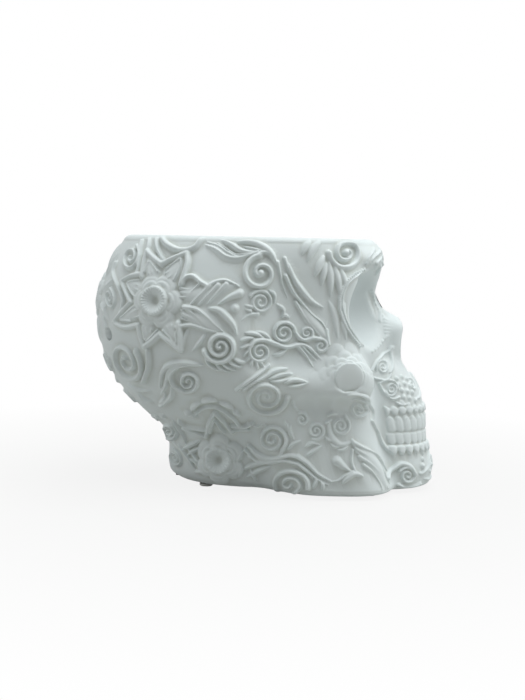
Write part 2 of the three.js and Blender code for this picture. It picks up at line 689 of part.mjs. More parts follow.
/** Cap, glass and filament of the bulb, which all turn together. */
function buildBulb(lamp) {
  const capOuter = BULB_CAP_DIAMETER / 2;
  const capInner = capOuter - BULB_CAP_WALL;
  const insulatorLow = BULB_BASE + BULB_TIP.height;
  const insulatorRadius = BULB_INSULATOR.diameter / 2;
  const insulatorHole = BULB_INSULATOR.hole / 2;
  const capShoulder = BULB_CAP_BASE + BULB_INSULATOR.height;
  const tip = turned(
    [
      [0, BULB_BASE],
      [BULB_TIP.face / 2, BULB_BASE],
      [BULB_TIP.diameter / 2, insulatorLow],
      [0, insulatorLow],
    ],
    SMALL_ROUND,
  );
  add(lamp, "bulb_tip", tip, MATERIALS.capMetal);
  const insulator = turned([
    [0, insulatorLow],
    [BULB_INSULATOR.face / 2, insulatorLow],
    [insulatorRadius, BULB_CAP_BASE],
    [0, BULB_CAP_BASE],
  ]);
  add(lamp, "bulb_insulator", insulator, MATERIALS.phenolic);
  const cap = turned([
    [insulatorHole, BULB_CAP_BASE],
    [insulatorRadius, BULB_CAP_BASE],
    [capOuter, capShoulder],
    [capOuter, BULB_CAP_TOP],
    [capInner, BULB_CAP_TOP],
    [capInner, capShoulder + BULB_CAP_WALL],
    [insulatorHole, BULB_CAP_BASE + BULB_CAP_WALL],
  ]);
  add(lamp, "bulb_cap", cap, MATERIALS.capMetal);

  // Neck inside the cap, a shoulder up to the full width, then a round crown.
  const neck = capInner - FIT;
  const glassLow = BULB_CAP_TOP - BULB_NECK_LENGTH;
  const crownCentre = BULB_CROWN - BULB_DIAMETER / 2;
  const shoulderRise = crownCentre - BULB_CAP_TOP;
  const envelope = (wall) => {
    const narrow = neck - wall;
    const wide = BULB_DIAMETER / 2 - wall;
    const shoulder = new THREE.CubicBezierCurve(
      new THREE.Vector2(narrow, BULB_CAP_TOP),
      new THREE.Vector2(narrow, BULB_CAP_TOP + shoulderRise * SHOULDER_PULL.fromNeck),
      new THREE.Vector2(wide, BULB_CAP_TOP + shoulderRise * SHOULDER_PULL.toSide),
      new THREE.Vector2(wide, crownCentre),
    );
    const dome = new THREE.EllipseCurve(0, crownCentre, wide, wide, 0, Math.PI / 2);
    const points = [...shoulder.getPoints(SHOULDER_STEPS), ...dome.getPoints(DOME_STEPS).slice(1, -1)];
    return [[narrow, glassLow], ...points.map((p) => [p.x, p.y]), [0, crownCentre + wide]];
  };
  const glass = turned([...envelope(BULB_GLASS).reverse(), ...envelope(0)]);
  add(lamp, "bulb_glass", glass, MATERIALS.glass);

  const stemFlare = neck - BULB_GLASS - SEAT_GAP;
  const stemHeight = (BULB_CROWN - glassLow) * STEM_SHARE;
  const stemTop = glassLow + stemHeight;
  const stem = turned(
    [
      [0, glassLow],
      [stemFlare, glassLow],
      [STEM_ROD, glassLow + stemHeight * FLARE_SHARE],
      [STEM_ROD, stemTop],
      [0, stemTop],
    ],
    SMALL_ROUND,
  );
  add(lamp, "bulb_stem", stem, MATERIALS.glass);

  // One wire: up one side of the stem, out to a support, over the top and down the other side.
  const beside = STEM_ROD + FILAMENT_WIRE / 2 + FIT;
  const half = [
    [beside, stemTop - stemHeight * FILAMENT_SHARES.tail],
    [beside, stemTop - stemHeight * FILAMENT_SHARES.bend],
    [FILAMENT_HALF_SPAN, stemTop + stemHeight * FILAMENT_SHARES.shoulder],
  ];
  const path = new THREE.CatmullRomCurve3(
    [
      ...half.map(([x, z]) => new THREE.Vector3(-x, 0, z)),
      new THREE.Vector3(0, 0, stemTop + stemHeight * FILAMENT_SHARES.middle),
      ...half.reverse().map(([x, z]) => new THREE.Vector3(x, 0, z)),
    ],
    false,
    "centripetal",
  );
  const section = new THREE.Shape().absarc(0, 0, FILAMENT_WIRE / 2, 0, 2 * Math.PI);
  const wire = new THREE.ExtrudeGeometry(section, {
    steps: WIRE.steps,
    curveSegments: WIRE.segments,
    extrudePath: path,
  });
  add(lamp, "bulb_filament", wire, MATERIALS.tungsten);
}

buildShell();
buildDish();
buildFeet();
buildInlet();
const lamp = new THREE.Group();
lamp.position.x = LAMP_X;
skull.add(lamp);
buildFixing(lamp);
buildHolder(lamp);
buildBulb(lamp);

export default skull;
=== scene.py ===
"""Looks of the sugar skull wax warmer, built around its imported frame.

Shapes are worked out in millimetres, with +Z up and the face along +X, and are put into meshes in metres.
"""

import json
import logging
import math
from dataclasses import dataclass
from enum import Enum
from typing import Any, Callable, ClassVar, Sequence

import bmesh
import bpy
import numpy as np
from mathutils import Matrix, Vector


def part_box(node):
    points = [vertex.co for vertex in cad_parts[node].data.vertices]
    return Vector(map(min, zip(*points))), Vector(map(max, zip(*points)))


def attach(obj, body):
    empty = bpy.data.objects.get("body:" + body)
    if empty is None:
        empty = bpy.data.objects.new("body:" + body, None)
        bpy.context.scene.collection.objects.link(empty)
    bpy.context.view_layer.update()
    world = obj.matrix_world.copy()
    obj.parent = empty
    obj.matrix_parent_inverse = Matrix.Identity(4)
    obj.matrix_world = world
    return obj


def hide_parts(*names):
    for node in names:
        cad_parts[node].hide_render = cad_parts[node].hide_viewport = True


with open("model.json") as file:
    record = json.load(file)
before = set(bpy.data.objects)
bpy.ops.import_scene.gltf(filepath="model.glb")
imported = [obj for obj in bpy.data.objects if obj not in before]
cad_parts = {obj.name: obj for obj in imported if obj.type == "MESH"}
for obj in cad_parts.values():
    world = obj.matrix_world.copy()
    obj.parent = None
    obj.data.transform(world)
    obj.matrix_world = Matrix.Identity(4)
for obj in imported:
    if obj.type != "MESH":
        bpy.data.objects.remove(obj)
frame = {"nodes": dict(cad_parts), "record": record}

LOG = logging.getLogger("sugar_skull")
MM = 0.001
TINY = 1e-9
# Name of the point attribute that carries how deep each point lies among the ornament, for the bisque's
# painted shade.
SHADE_DEPTH_NAME = "hollow"
WHITE = (1.0, 1.0, 1.0, 1.0)

Array = np.ndarray
Spot = tuple[float, float]
Triple = tuple[float, float, float]
Colour = tuple[float, float, float]
Piece = bpy.types.Object
Mesh = bpy.types.Mesh
Material = bpy.types.Material


class Socket:
    """A shader value that takes part in Python arithmetic."""

    def __init__(self, shader: "Shader", plug: Any) -> None:
        """Keeps the shader that owns the value and the node output that carries it."""
        self.shader = shader
        self.plug = plug

    def _with(self, operation: str, first: Any, second: Any) -> "Socket":
        """Adds one Math node on two values."""
        return self.shader.node("ShaderNodeMath", {"operation": operation}, {0: first, 1: second})

    def __add__(self, other: Any) -> "Socket":
        """This value plus another."""
        return self._with("ADD", self, other)

    def __radd__(self, other: Any) -> "Socket":
        """Another value plus this one."""
        return self._with("ADD", other, self)

    def __sub__(self, other: Any) -> "Socket":
        """This value less another."""
        return self._with("SUBTRACT", self, other)

    def __rsub__(self, other: Any) -> "Socket":
        """Another value less this one."""
        return self._with("SUBTRACT", other, self)

    def __mul__(self, other: Any) -> "Socket":
        """This value times another."""
        return self._with("MULTIPLY", self, other)

    def __rmul__(self, other: Any) -> "Socket":
        """Another value times this one."""
        return self._with("MULTIPLY", other, self)

    def most(self, other: Any) -> "Socket":
        """The greater of this value and another."""
        return self._with("MAXIMUM", self, other)


class Shader:
    """A procedural material, or a world's light, in the making."""

    def __init__(self, owner: Material | bpy.types.World) -> None:
        """Starts an empty node tree.

        Args:
            owner: the material or world that is made.
        """
        self.owner = owner
        owner.use_nodes = True
        self.tree = owner.node_tree
        self.tree.nodes.clear()

    def node(
        self,
        kind: str,
        settings: dict[str, Any] | None = None,
        inputs: dict[Any, Any] | None = None,
        output: Any = 0,
    ) -> Socket:
        """Adds a node.

        Args:
            kind: the node's type.
            settings: what is set on the node itself.
            inputs: the values or links of its sockets, by name or number.
            output: the output that is handed back.

        Returns:
            The chosen output.
        """
        made = self.tree.nodes.new(kind)
        for name, value in (settings or {}).items():
            setattr(made, name, value)
        for name, value in (inputs or {}).items():
            if isinstance(value, Socket):
                self.tree.links.new(value.plug, made.inputs[name])
            else:
                made.inputs[name].default_value = value
        return Socket(self, made.outputs[output])

    def place(self) -> Socket:
        """The place on the piece, in metres."""
        return self.node("ShaderNodeTexCoord", output="Object")

    def noise(self, scale: float, detail: float = 3.0, stretch: Triple = (1.0, 1.0, 1.0)) -> Socket:
        """Soft noise about 0.5, in cells of 1 / scale metres, longer where stretch is small.

        Args:
            scale: cells in a metre.
            detail: how many finer layers are added.
            stretch: scale along each axis.

        Returns:
            The noise.
        """
        where = self.node("ShaderNodeMapping", None, {"Vector": self.place(), "Scale": stretch})
        return self.node(
            "ShaderNodeTexNoise", None, {"Vector": where, "Scale": scale, "Detail": detail}, "Fac"
        )

    def between(self, factor: Socket, first: Colour, second: Colour) -> Socket:
        """A colour between two, by a factor from 0 to 1."""
        ends = {"Factor": factor, 6: (*first, 1.0), 7: (*second, 1.0)}
        return self.node("ShaderNodeMix", {"data_type": "RGBA"}, ends, 2)

    def seen(self) -> Socket:
        """1 for a ray from the camera, off a mirror or through glass, and else 0.

        Returns:
            The test's value.
        """
        rays = ("Is Camera Ray", "Is Glossy Ray", "Is Transmission Ray")
        first, second, third = (self.node("ShaderNodeLightPath", output=ray) for ray in rays)
        return first.most(second.most(third))

    def bump(self, height: Socket, depth: float) -> Socket:
        """A normal that follows a height, the depth in metres."""
        return self.node("ShaderNodeBump", None, {"Height": height, "Distance": depth, "Strength": 1.0})

    def close(self, **inputs: Any) -> Material:
        """Ends the material in one Principled surface; underscores in the names stand for spaces."""
        named = {name.replace("_", " "): value for name, value in inputs.items()}
        return self.end(self.node("ShaderNodeBsdfPrincipled", None, named))

    def end(self, surface: Socket, kind: str = "ShaderNodeOutputMaterial") -> Any:
        """Links the last node to the tree's output.

        Args:
            surface: the last node's shader.
            kind: the output node's type.

        Returns:
            The finished material or world.
        """
        output = self.tree.nodes.new(kind)
        self.tree.links.new(surface.plug, output.inputs["Surface"])
        return self.owner


@dataclass(frozen=True)
class Finish:
    """A material of the object, with its plain colour and roughness."""

    name: str
    colour: Colour
    roughness: float

    def shader(self) -> Shader:
        """An empty material under the finish's name."""
        return Shader(bpy.data.materials.new(self.name))

    def make(self) -> Material:
        """Builds the material; each finish has its own way."""
        raise NotImplementedError


@dataclass(frozen=True)
class Bisque(Finish):
    """Unglazed white porcelain: a fine dry grain, and painted shade, darker and slightly warmer, where the
    relief is deep.
    """

    # Colour of the painted shade in the relief's hollows: darker and a little warmer than the body.
    painted_shade_colour: Colour
    grain: float = 2600.0
    grain_depth: float = 0.00004
    clouds: float = 60.0
    cloud_tone: float = 0.25
    cloud_roughness: float = 0.12
    shine: float = 0.28

    def make(self) -> Material:
        """Mixes the body colour and a darker painted shade colour by the carved depth and a soft cloud, over
        a fine grain.

        Returns:
            The material.
        """
        shader = self.shader()
        # How deep each point lies among the ornament, read for the painted shade.
        depth = shader.node("ShaderNodeAttribute", {"attribute_name": SHADE_DEPTH_NAME}, None, "Fac")
        cloud = shader.noise(self.clouds)
        # Painted shade by depth, moved a little by a soft cloud of the porcelain's own tone.
        tone = depth + self.cloud_tone * (cloud - 0.5)
        return shader.close(
            Base_Color=shader.between(tone, self.colour, self.painted_shade_colour),
            Roughness=self.roughness + self.cloud_roughness * (cloud - 0.5),
            Normal=shader.bump(shader.noise(self.grain), self.grain_depth),
            Specular_IOR_Level=self.shine,
        )


@dataclass(frozen=True)
class Glaze(Finish):
    """Clear gloss glaze over white: a slow ripple, and thinner, duller patches."""

    ripple: float = 110.0
    ripple_depth: float = 0.0002
    thin_tone: float = 0.93
    speck: float = 1400.0
    speck_roughness: float = 0.08
    coat: float = 0.6
    coat_roughness: float = 0.05

    def make(self) -> Material:
        """Ripples the gloss and lets the colour drift a little.

        Returns:
            The material.
        """
        shader = self.shader()
        wave = shader.noise(self.ripple, 1.0)
        speck = shader.noise(self.speck, 2.0)
        tint = tuple(self.thin_tone * channel for channel in self.colour)
        return shader.close(
            Base_Color=shader.between(wave, self.colour, tint),
            Roughness=self.roughness + self.speck_roughness * speck,
            Normal=shader.bump(wave, self.ripple_depth),
            Coat_Weight=self.coat,
            Coat_Roughness=self.coat_roughness,
        )


@dataclass(frozen=True)
class Moulded(Finish):
    """Rubber or plastic from a mould: a fine pitted skin and a dusty drift of tone."""

    pits: float
    depth: float
    gloss: float = 0.0
    drift: float = 90.0
    drift_roughness: float = 0.14
    dust: float = 0.02

    def make(self) -> Material:
        """Pits the skin and varies colour and roughness together.

        Returns:
            The material.
        """
        shader = self.shader()
        drift = shader.noise(self.drift)
        dusty = tuple(channel + self.dust for channel in self.colour)
        return shader.close(
            Base_Color=shader.between(drift, self.colour, dusty),
            Roughness=self.roughness + self.drift_roughness * (drift - 0.5),
            Normal=shader.bump(shader.noise(self.pits, 2.0), self.depth),
            Coat_Weight=self.gloss,
        )


@dataclass(frozen=True)
class Metal(Finish):
    """Plated or drawn metal with fine marks round it and a slight tarnish."""

    tarnish: Colour
    clouds: float = 180.0
    cloud_roughness: float = 0.15
    marks: Triple = (60.0, 60.0, 1500.0)
    mark_depth: float = 0.00002
    mark_roughness: float = 0.2

    def make(self) -> Material:
        """Draws fine level marks and clouds of tarnish.

        Returns:
            The material.
        """
        shader = self.shader()
        mark = shader.noise(1.0, stretch=self.marks)
        cloud = shader.noise(self.clouds)
        marked = self.roughness + self.mark_roughness * (mark - 0.5)
        return shader.close(
            Base_Color=shader.between(cloud, self.colour, self.tarnish),
            Roughness=marked + self.cloud_roughness * (cloud - 0.5),
            Metallic=1.0,
            Normal=shader.bump(mark, self.mark_depth),
        )


@dataclass(frozen=True)
class ClearGlass(Finish):
    """Thin blown glass: clear, with a faint film."""

    haze: float = 140.0
    haze_tone: float = 0.97
    film: float = 0.05
    index: float = 1.45

    def make(self) -> Material:
        """Transmits light, with a faint uneven film on it.

        Returns:
            The material.
        """
        shader = self.shader()
        haze = shader.noise(self.haze)
        faint = tuple(self.haze_tone * channel for channel in self.colour)
        return shader.close(
            Base_Color=shader.between(haze, self.colour, faint),
            Roughness=self.roughness + self.film * haze,
            Transmission_Weight=1.0,
            IOR=self.index,
        )


FINISHES: dict[str, Finish] = {
    # The bisque's last colour is the painted shade in the relief's hollows.
    "bisque": Bisque("white_bisque", (0.72, 0.77, 0.775), 0.62, (0.58, 0.61, 0.58)),
    "glaze": Glaze("clear_glaze", (0.74, 0.77, 0.765), 0.16),
    "pad": Moulded("soft_white_rubber", (0.7, 0.7, 0.67), 0.6, 2600.0, 0.00006),
    "rubber": Moulded("black_rubber", (0.03, 0.03, 0.035), 0.7, 2600.0, 0.00006),
    "steel": Metal("zinc_plated_steel", (0.55, 0.56, 0.58), 0.34, (0.47, 0.47, 0.46)),
    "nylon": Moulded("natural_nylon", (0.8, 0.79, 0.75), 0.45, 1500.0, 0.00003),
    "phenolic": Moulded("black_phenolic", (0.025, 0.023, 0.022), 0.32, 1200.0, 0.00002, 0.3),
    "brass": Metal("bright_brass", (0.72, 0.53, 0.24), 0.26, (0.6, 0.42, 0.19)),
    "cap_metal": Metal("bright_aluminium", (0.78, 0.79, 0.8), 0.28, (0.7, 0.71, 0.72)),
    "glass": ClearGlass("clear_glass", (0.96, 0.97, 0.96), 0.02),
    "tungsten": Metal("dull_tungsten", (0.2, 0.2, 0.2), 0.5, (0.15, 0.14, 0.14)),
}


def unit(value: Array) -> Array:
    """Values held between 0 and 1."""
    return np.clip(value, 0.0, 1.0)


def full_turn(count: int) -> Array:
    """Angles spaced evenly round a circle, in radians."""
    return np.linspace(0.0, 2 * np.pi, count, endpoint=False)


def blended_least(first: Array, second: Array, blend: float) -> Array:
    """The lesser of two distances, rounded over the blend length where they are close."""
    share = unit(0.5 + 0.5 * (second - first) / blend)
    return second + (first - second) * share - blend * share * (1.0 - share)


def blended_most(first: Array, second: Array, blend: float) -> Array:
    """The greater of two distances, rounded over the blend length where they are close."""
    return -blended_least(-first, -second, blend)


def smooth_through(places: Sequence[float], values: Sequence[float], where: Array) -> Array:
    """A smooth curve through values at rising places, flat beyond both ends.

    Each stretch is a cubic whose end slopes are the slopes between the neighbours on both sides.

    Args:
        places: rising places.
        values: the curve's values there.
        where: the places that are asked for.

    Returns:
        The curve's values.
    """
    spot = np.asarray(places, float)
    value = np.asarray(values, float)
    before = np.maximum(np.arange(len(spot)) - 1, 0)
    after = np.minimum(np.arange(len(spot)) + 1, len(spot) - 1)
    slope = (value[after] - value[before]) / (spot[after] - spot[before])
    inside = np.clip(where, spot[0], spot[-1])
    low = np.clip(np.searchsorted(spot, inside, side="right") - 1, 0, len(spot) - 2)
    span = spot[low + 1] - spot[low]
    part = (inside - spot[low]) / span
    rest = 1.0 - part
    pull = span * part * rest * (slope[low] * rest - slope[low + 1] * part)
    return value[low] * rest**2 * (1 + 2 * part) + value[low + 1] * part**2 * (1 + 2 * rest) + pull


@dataclass(frozen=True)
class Egg:
    """An ellipsoid whose upper half may be taller than its lower half."""

    at: Triple
    size: Triple
    crown: float
    blend: float

    def distance(self, x: Array, y: Array, z: Array) -> Array:
        """Distance to the skin: the scaled radius less one, over the slope of that radius.

        Args:
            x: the points' x, in mm.
            y: the points' y.
            z: the points' z.

        Returns:
            The distance of each point, below 0 inside.
        """
        high = np.where(z > self.at[2], self.crown, self.size[2])
        a = (x - self.at[0]) / self.size[0]
        b = (y - self.at[1]) / self.size[1]
        c = (z - self.at[2]) / high
        near = np.sqrt(a * a + b * b + c * c) + TINY
        slope = np.sqrt((a / self.size[0]) ** 2 + (b / self.size[1]) ** 2 + (c / high) ** 2) + TINY
        return near * (near - 1.0) / slope


@dataclass(frozen=True)
class Bar:
    """A round bar with ball ends."""

    start: Triple
    end: Triple
    radius: float
    blend: float

    def distance(self, x: Array, y: Array, z: Array) -> Array:
        """Distance to the nearest point of the axis, less the radius.

        Args:
            x: the points' x, in mm.
            y: the points' y.
            z: the points' z.

        Returns:
            The distance of each point, below 0 inside.
        """
        line = [b - a for a, b in zip(self.start, self.end)]
        off = [p - a for a, p in zip(self.start, (x, y, z))]
        along = sum(o * d for o, d in zip(off, line)) / sum(d * d for d in line)
        along = unit(along)
        return np.sqrt(sum((o - along * d) ** 2 for o, d in zip(off, line))) - self.radius


@dataclass(frozen=True)
class Column:
    """An upright column of oval to squarish section, which may lean forwards or back."""

    x: float
    half: tuple[float, float]
    low: float
    high: float
    edge: float
    squareness: float
    blend: float
    lean: tuple[Sequence[float], Sequence[float]] | None = None

    def distance(self, x: Array, y: Array, z: Array) -> Array:
        """Distance to the leaning side wall, cut off at both ends with a rounded edge.

        Args:
            x: the points' x, in mm.
            y: the points' y.
            z: the points' z.

        Returns:
            The distance of each point, below 0 inside.
        """
        centre = self.x + (smooth_through(*self.lean, z) if self.lean else 0.0)
        a = np.abs(x - centre) / self.half[0]
        b = np.abs(y) / self.half[1]
        near = (a**self.squareness + b**self.squareness) ** (1.0 / self.squareness) + TINY
        slope = np.sqrt((a / self.half[0]) ** 2 + (b / self.half[1]) ** 2) + TINY
        side = (np.sqrt(a * a + b * b) + TINY) * (near - 1.0) / slope
        return blended_most(side, np.maximum(self.low - z, z - self.high), self.edge)


class Head:
    """The skull's form without its ornament, the same on both sides of y = 0."""

    HEIGHT: ClassVar[float] = 121.0
    FOOT: ClassVar[float] = 1.2
    FOOT_ROUNDING: ClassVar[float] = 4.0
    RIM_ROUNDING: ClassVar[float] = 3.0
    FARTHEST: ClassVar[float] = 117.0
    HALVINGS: ClassVar[int] = 13
    SPINE: ClassVar[tuple[Sequence[float], Sequence[float]]] = (
        (0, 22, 62, 121),
        (15.6, 9.6, -2.4, -8.4),
    )
    EYE: ClassVar[Egg] = Egg((54.6, 26.5, 87), (25, 17, 15.5), 18.5, 5)
    NOSTRIL: ClassVar[Egg] = Egg((68, 3.6, 68), (9, 4.6, 9), 12, 2)
    TEMPLE: ClassVar[Egg] = Egg((16.6, 66, 83), (22, 17, 30), 30, 14)
    CRANIUM: ClassVar[Egg] = Egg((-13.4, 0, 80), (70, 56, 60), 70, 1)
    FOREHEAD: ClassVar[Egg] = Egg((6.6, 0, 108), (46, 47, 40), 46, 10)
    MIDFACE: ClassVar[Egg] = Egg((17.6, 0, 60), (38, 44, 40), 40, 12)
    JAW: ClassVar[Column] = Column(23.6, (31, 43.5), -6, 51, 11, 3.2, 7, ((2, 24, 50), (10, 2, -2)))
    NAPE: ClassVar[Column] = Column(-8.4, (40, 31), -5, 29, 18, 2, 14)
    CHEEKBONE: ClassVar[Egg] = Egg((35.6, 38, 54), (15, 14, 12), 14, 6)
    CHEEK_ARCH: ClassVar[Bar] = Bar((31.6, 43, 54), (-4.4, 49, 58), 5.5, 9)
    EYE_PILLAR: ClassVar[Bar] = Bar((32.6, 38, 62), (35.6, 35, 100), 6, 8)
    TEETH_LEAN: ClassVar[tuple[Sequence[float], Sequence[float]]] = (
        (0, 11, 23, 39, 49, 60, 70),
        (3.4, 4.6, 1, -0.4, -3, -10.5, -17),
    )
    TEETH: ClassVar[Column] = Column(45.6, (33.5, 25), -6, 66, 10, 2.3, 3, TEETH_LEAN)
    NOSE_BRIDGE: ClassVar[Bar] = Bar((41.6, 0, 103), (58.6, 0, 82), 6, 4)
    NOSE: ClassVar[Column] = Column(52.2, (15.6, 11.5), 55, 83, 6, 4, 3.5)
    BROW: ClassVar[Egg] = Egg((45.6, 11, 111), (9, 21, 7.5), 8, 7)

    def distance(self, x: Array, y: Array, z: Array) -> Array:
        """Distance to the uncut head: bones melted together in turn, then the hollows taken out.

        Args:
            x: places forwards.
            y: places sideways.
            z: heights.

        Returns:
            The distances, negative inside the head.
        """
        side = np.abs(y)
        bones = (
            self.FOREHEAD, self.MIDFACE, self.JAW, self.NAPE, self.CHEEKBONE, self.CHEEK_ARCH,
            self.EYE_PILLAR, self.TEETH, self.NOSE_BRIDGE, self.NOSE, self.BROW,
        )
        made = self.CRANIUM.distance(x, side, z)
        for bone in bones:
            made = blended_least(made, bone.distance(x, side, z), bone.blend)
        for hollow in (self.EYE, self.TEMPLE, self.NOSTRIL):
            made = blended_most(made, -hollow.distance(x, side, z), hollow.blend)
        return made

    def footed(self, x: Array, y: Array, z: Array) -> Array:
        """Distance to the head with its flat foot and crown, their edges rounded."""
        footed = blended_most(self.distance(x, y, z), self.FOOT - z, self.FOOT_ROUNDING)
        return blended_most(footed, z - self.HEIGHT, self.RIM_ROUNDING)

    def spine(self, z: Array) -> Array:
        """How far forwards the axis lies that the level sections are drawn round."""
        return smooth_through(*self.SPINE, z)

    def reach(
        self,
        skin: Callable[[Array, Array, Array], Array],
        bearing: Array,
        z: Array,
        inset: float = 0.0,
        near: Array | float = 0.0,
        far: Array | float = FARTHEST,
        steps: int = 60,
    ) -> Array:
        """Where level rays from the spine last leave a skin: stepped inwards, then halved.

        Args:
            skin: a distance function.
            bearing: the rays' turns from the face, in radians.
            z: the rays' heights.
            inset: how far inside the skin the answer lies.
            near: a radius below the answer.
            far: a radius above it.
            steps: steps between the two.

        Returns:
            Radii from the spine.
        """
        centre = self.spine(z)
        cosine = np.cos(bearing)
        sine = np.sin(bearing)
        low = np.zeros(np.broadcast(bearing, z).shape) + near
        high = np.zeros_like(low) + far
        stride = (high - low) / steps
        found = np.zeros(low.shape, bool)
        inner = low.copy()
        for step in range(1, steps):
            radius = high - step * stride
            inside = skin(centre + radius * cosine, radius * sine, z) < -inset
            inner = np.where(inside & ~found, radius, inner)
            found |= inside
        outer = inner + stride
        for _ in range(self.HALVINGS):
            middle = 0.5 * (inner + outer)
            inside = skin(centre + middle * cosine, middle * sine, z) < -inset
            inner = np.where(inside, middle, inner)
            outer = np.where(inside, outer, middle)
        return 0.5 * (inner + outer)

    def outline(self, bearing: Array, z: float, inset: float, height: float | None = None) -> Array:
        """A level ring of points inside the head, on the right side, set at another height if one is given.

        Args:
            bearing: turns from the face, in radians.
            z: the section's height.
            inset: how far inside the head it lies.
            height: where the ring is set.

        Returns:
            Points, one row each.
        """
        level = np.full_like(bearing, z)
        radius = self.reach(self.distance, bearing, level, inset)
        x = self.spine(level) + radius * np.cos(bearing)
        y = -radius * np.sin(bearing)
        return np.stack([x, y, np.full_like(x, z if height is None else height)], 1)


@dataclass(frozen=True)
class Viewpoint:
    """Where the photograph was taken from, in millimetres, and its frame of 525 by 700 pixels."""

    place: Triple = (-2.1, -600.0, 120.0)
    target: Triple = (-2.1, 0.0, 65.7)
    roll: float = 1.2
    pixel: float = 0.4925
    width: int = 525
    height: int = 700
    sensor: float = 36.0
    nearest: float = 0.01
    search_from: float = -90.0
    search_steps: int = 130
    halvings: int = 14

    def axes(self) -> Matrix:
        """The camera's right, up and back directions, as the columns of a matrix."""
        look = Vector(self.target) - Vector(self.place)
        return look.to_track_quat("-Z", "Y").to_matrix() @ Matrix.Rotation(math.radians(self.roll), 3, "Z")

    def reach(self) -> float:
        """How far the target is."""
        return (Vector(self.target) - Vector(self.place)).length

    def cast(self, head: Head, spots: Array) -> Array:
        """Where lines of sight through places in the photograph first meet the head.

        Args:
            head: the form that is looked at.
            spots: pixel places, one row each.

        Returns:
            Points in millimetres, or where a line that misses comes closest.
        """
        scale = self.pixel / self.reach()
        flat = np.stack(
            [
                (spots[:, 0] - self.width / 2) * scale,
                (self.height / 2 - spots[:, 1]) * scale,
                -np.ones(len(spots)),
            ],
            1,
        )
        sight = flat @ np.array(self.axes()).T
        sight /= np.linalg.norm(sight, axis=1)[:, None]
        start = np.array(self.place)

        def gap(depth: Array) -> Array:
            """How far outside the head the places at a depth along the lines of sight are."""
            point = start + depth[:, None] * sight
            return head.footed(point[:, 0], point[:, 1], point[:, 2])

        shallow = self.reach() + self.search_from
        depth = np.full(len(spots), shallow)
        best = np.full(len(spots), np.inf)
        hit = np.zeros(len(spots), bool)
        for step in range(self.search_steps):
            probe = np.full(len(spots), shallow + step)
            off = gap(probe)
            closer = ~hit & (off < best)
            depth = np.where(closer, probe, depth)
            best = np.where(closer, off, best)
            hit |= off < 0
        inside = depth.copy()
        outside = depth - 1.0
        for _ in range(self.halvings):
            middle = 0.5 * (inside + outside)
            under = gap(middle) < 0
            inside = np.where(under, middle, inside)
            outside = np.where(under, outside, middle)
        return start + np.where(hit, inside, depth)[:, None] * sight

    def build(self) -> None:
        """Adds the camera and makes it the scene's."""
        lens = bpy.data.cameras.new("camera")
        lens.sensor_width = self.sensor
        lens.sensor_fit = "HORIZONTAL"
        lens.lens = self.sensor * self.reach() / (self.width * self.pixel)
        lens.clip_start = self.nearest
        camera = bpy.data.objects.new("camera", lens)
        camera.matrix_world = Matrix.Translation(Vector(self.place) * MM) @ self.axes().to_4x4()
        bpy.context.collection.objects.link(camera)
        bpy.context.scene.camera = camera


class Sheet(Enum):
    """What a motif's places are measured on."""

    SEEN = "pixels of the photograph's frame"
    ROUND = "bearing from the face in degrees, and height in millimetres"


TAIL_END = 0.25
LEAF_END = 0.12
LEAF_SHIFT = 0.9
DROP_END = 0.1
FULLNESS = 0.8
ROPE_POWER = 0.85
PILLOW_POWER = 1.5
RIB_WIDTH = 0.25


class Section(Enum):
    """The cross-section of a raised stroke, from its middle line (0) to its edge (1)."""

    ROPE = "round"
    RIBBED = "sloping down from a middle rib"
    PILLOW = "soft swelling"

    def rise(self, off: Array) -> Array:
        """Share of the height at a share of the half width.

        Args:
            off: distances from the middle line, 1 at the edge.

        Returns:
            Shares of the height, 0 beyond the edge.
        """
        q = unit(off)
        if self is Section.PILLOW:
            return (1.0 - q * q) ** PILLOW_POWER
        edge = (1.0 - q * q) ** ROPE_POWER
        if self is Section.RIBBED:
            return 0.5 * edge + 0.5 * np.exp(-((q / RIB_WIDTH) ** 2)) * edge
        return edge


class Taper(Enum):
    """How a stroke's width runs from its first place (0) to its last (1)."""

    EVEN = "the same all along"
    TAIL = "thinning out"
    LEAF = "widest in the middle"
    DROP = "round head first, then a point"

    def share(self, along: Array) -> Array:
        """Share of the full width at a share of the length.

        Args:
            along: places on the stroke from 0 to 1.

        Returns:
            Shares of the width.
        """
        s = unit(along)
        if self is Taper.TAIL:
            return 1.0 - (1.0 - TAIL_END) * s
        if self is Taper.LEAF:
            return LEAF_END + (1.0 - LEAF_END) * np.sin(np.pi * s**LEAF_SHIFT) ** FULLNESS
        if self is Taper.DROP:
            return DROP_END + (1.0 - DROP_END) * (1.0 - s) ** FULLNESS
        return np.ones_like(s)


def run_along(line: Array) -> Array:
    """Lengths along a broken line from its first point to each of its points."""
    return np.concatenate([[0.0], np.linalg.norm(np.diff(line, axis=0), axis=1).cumsum()])


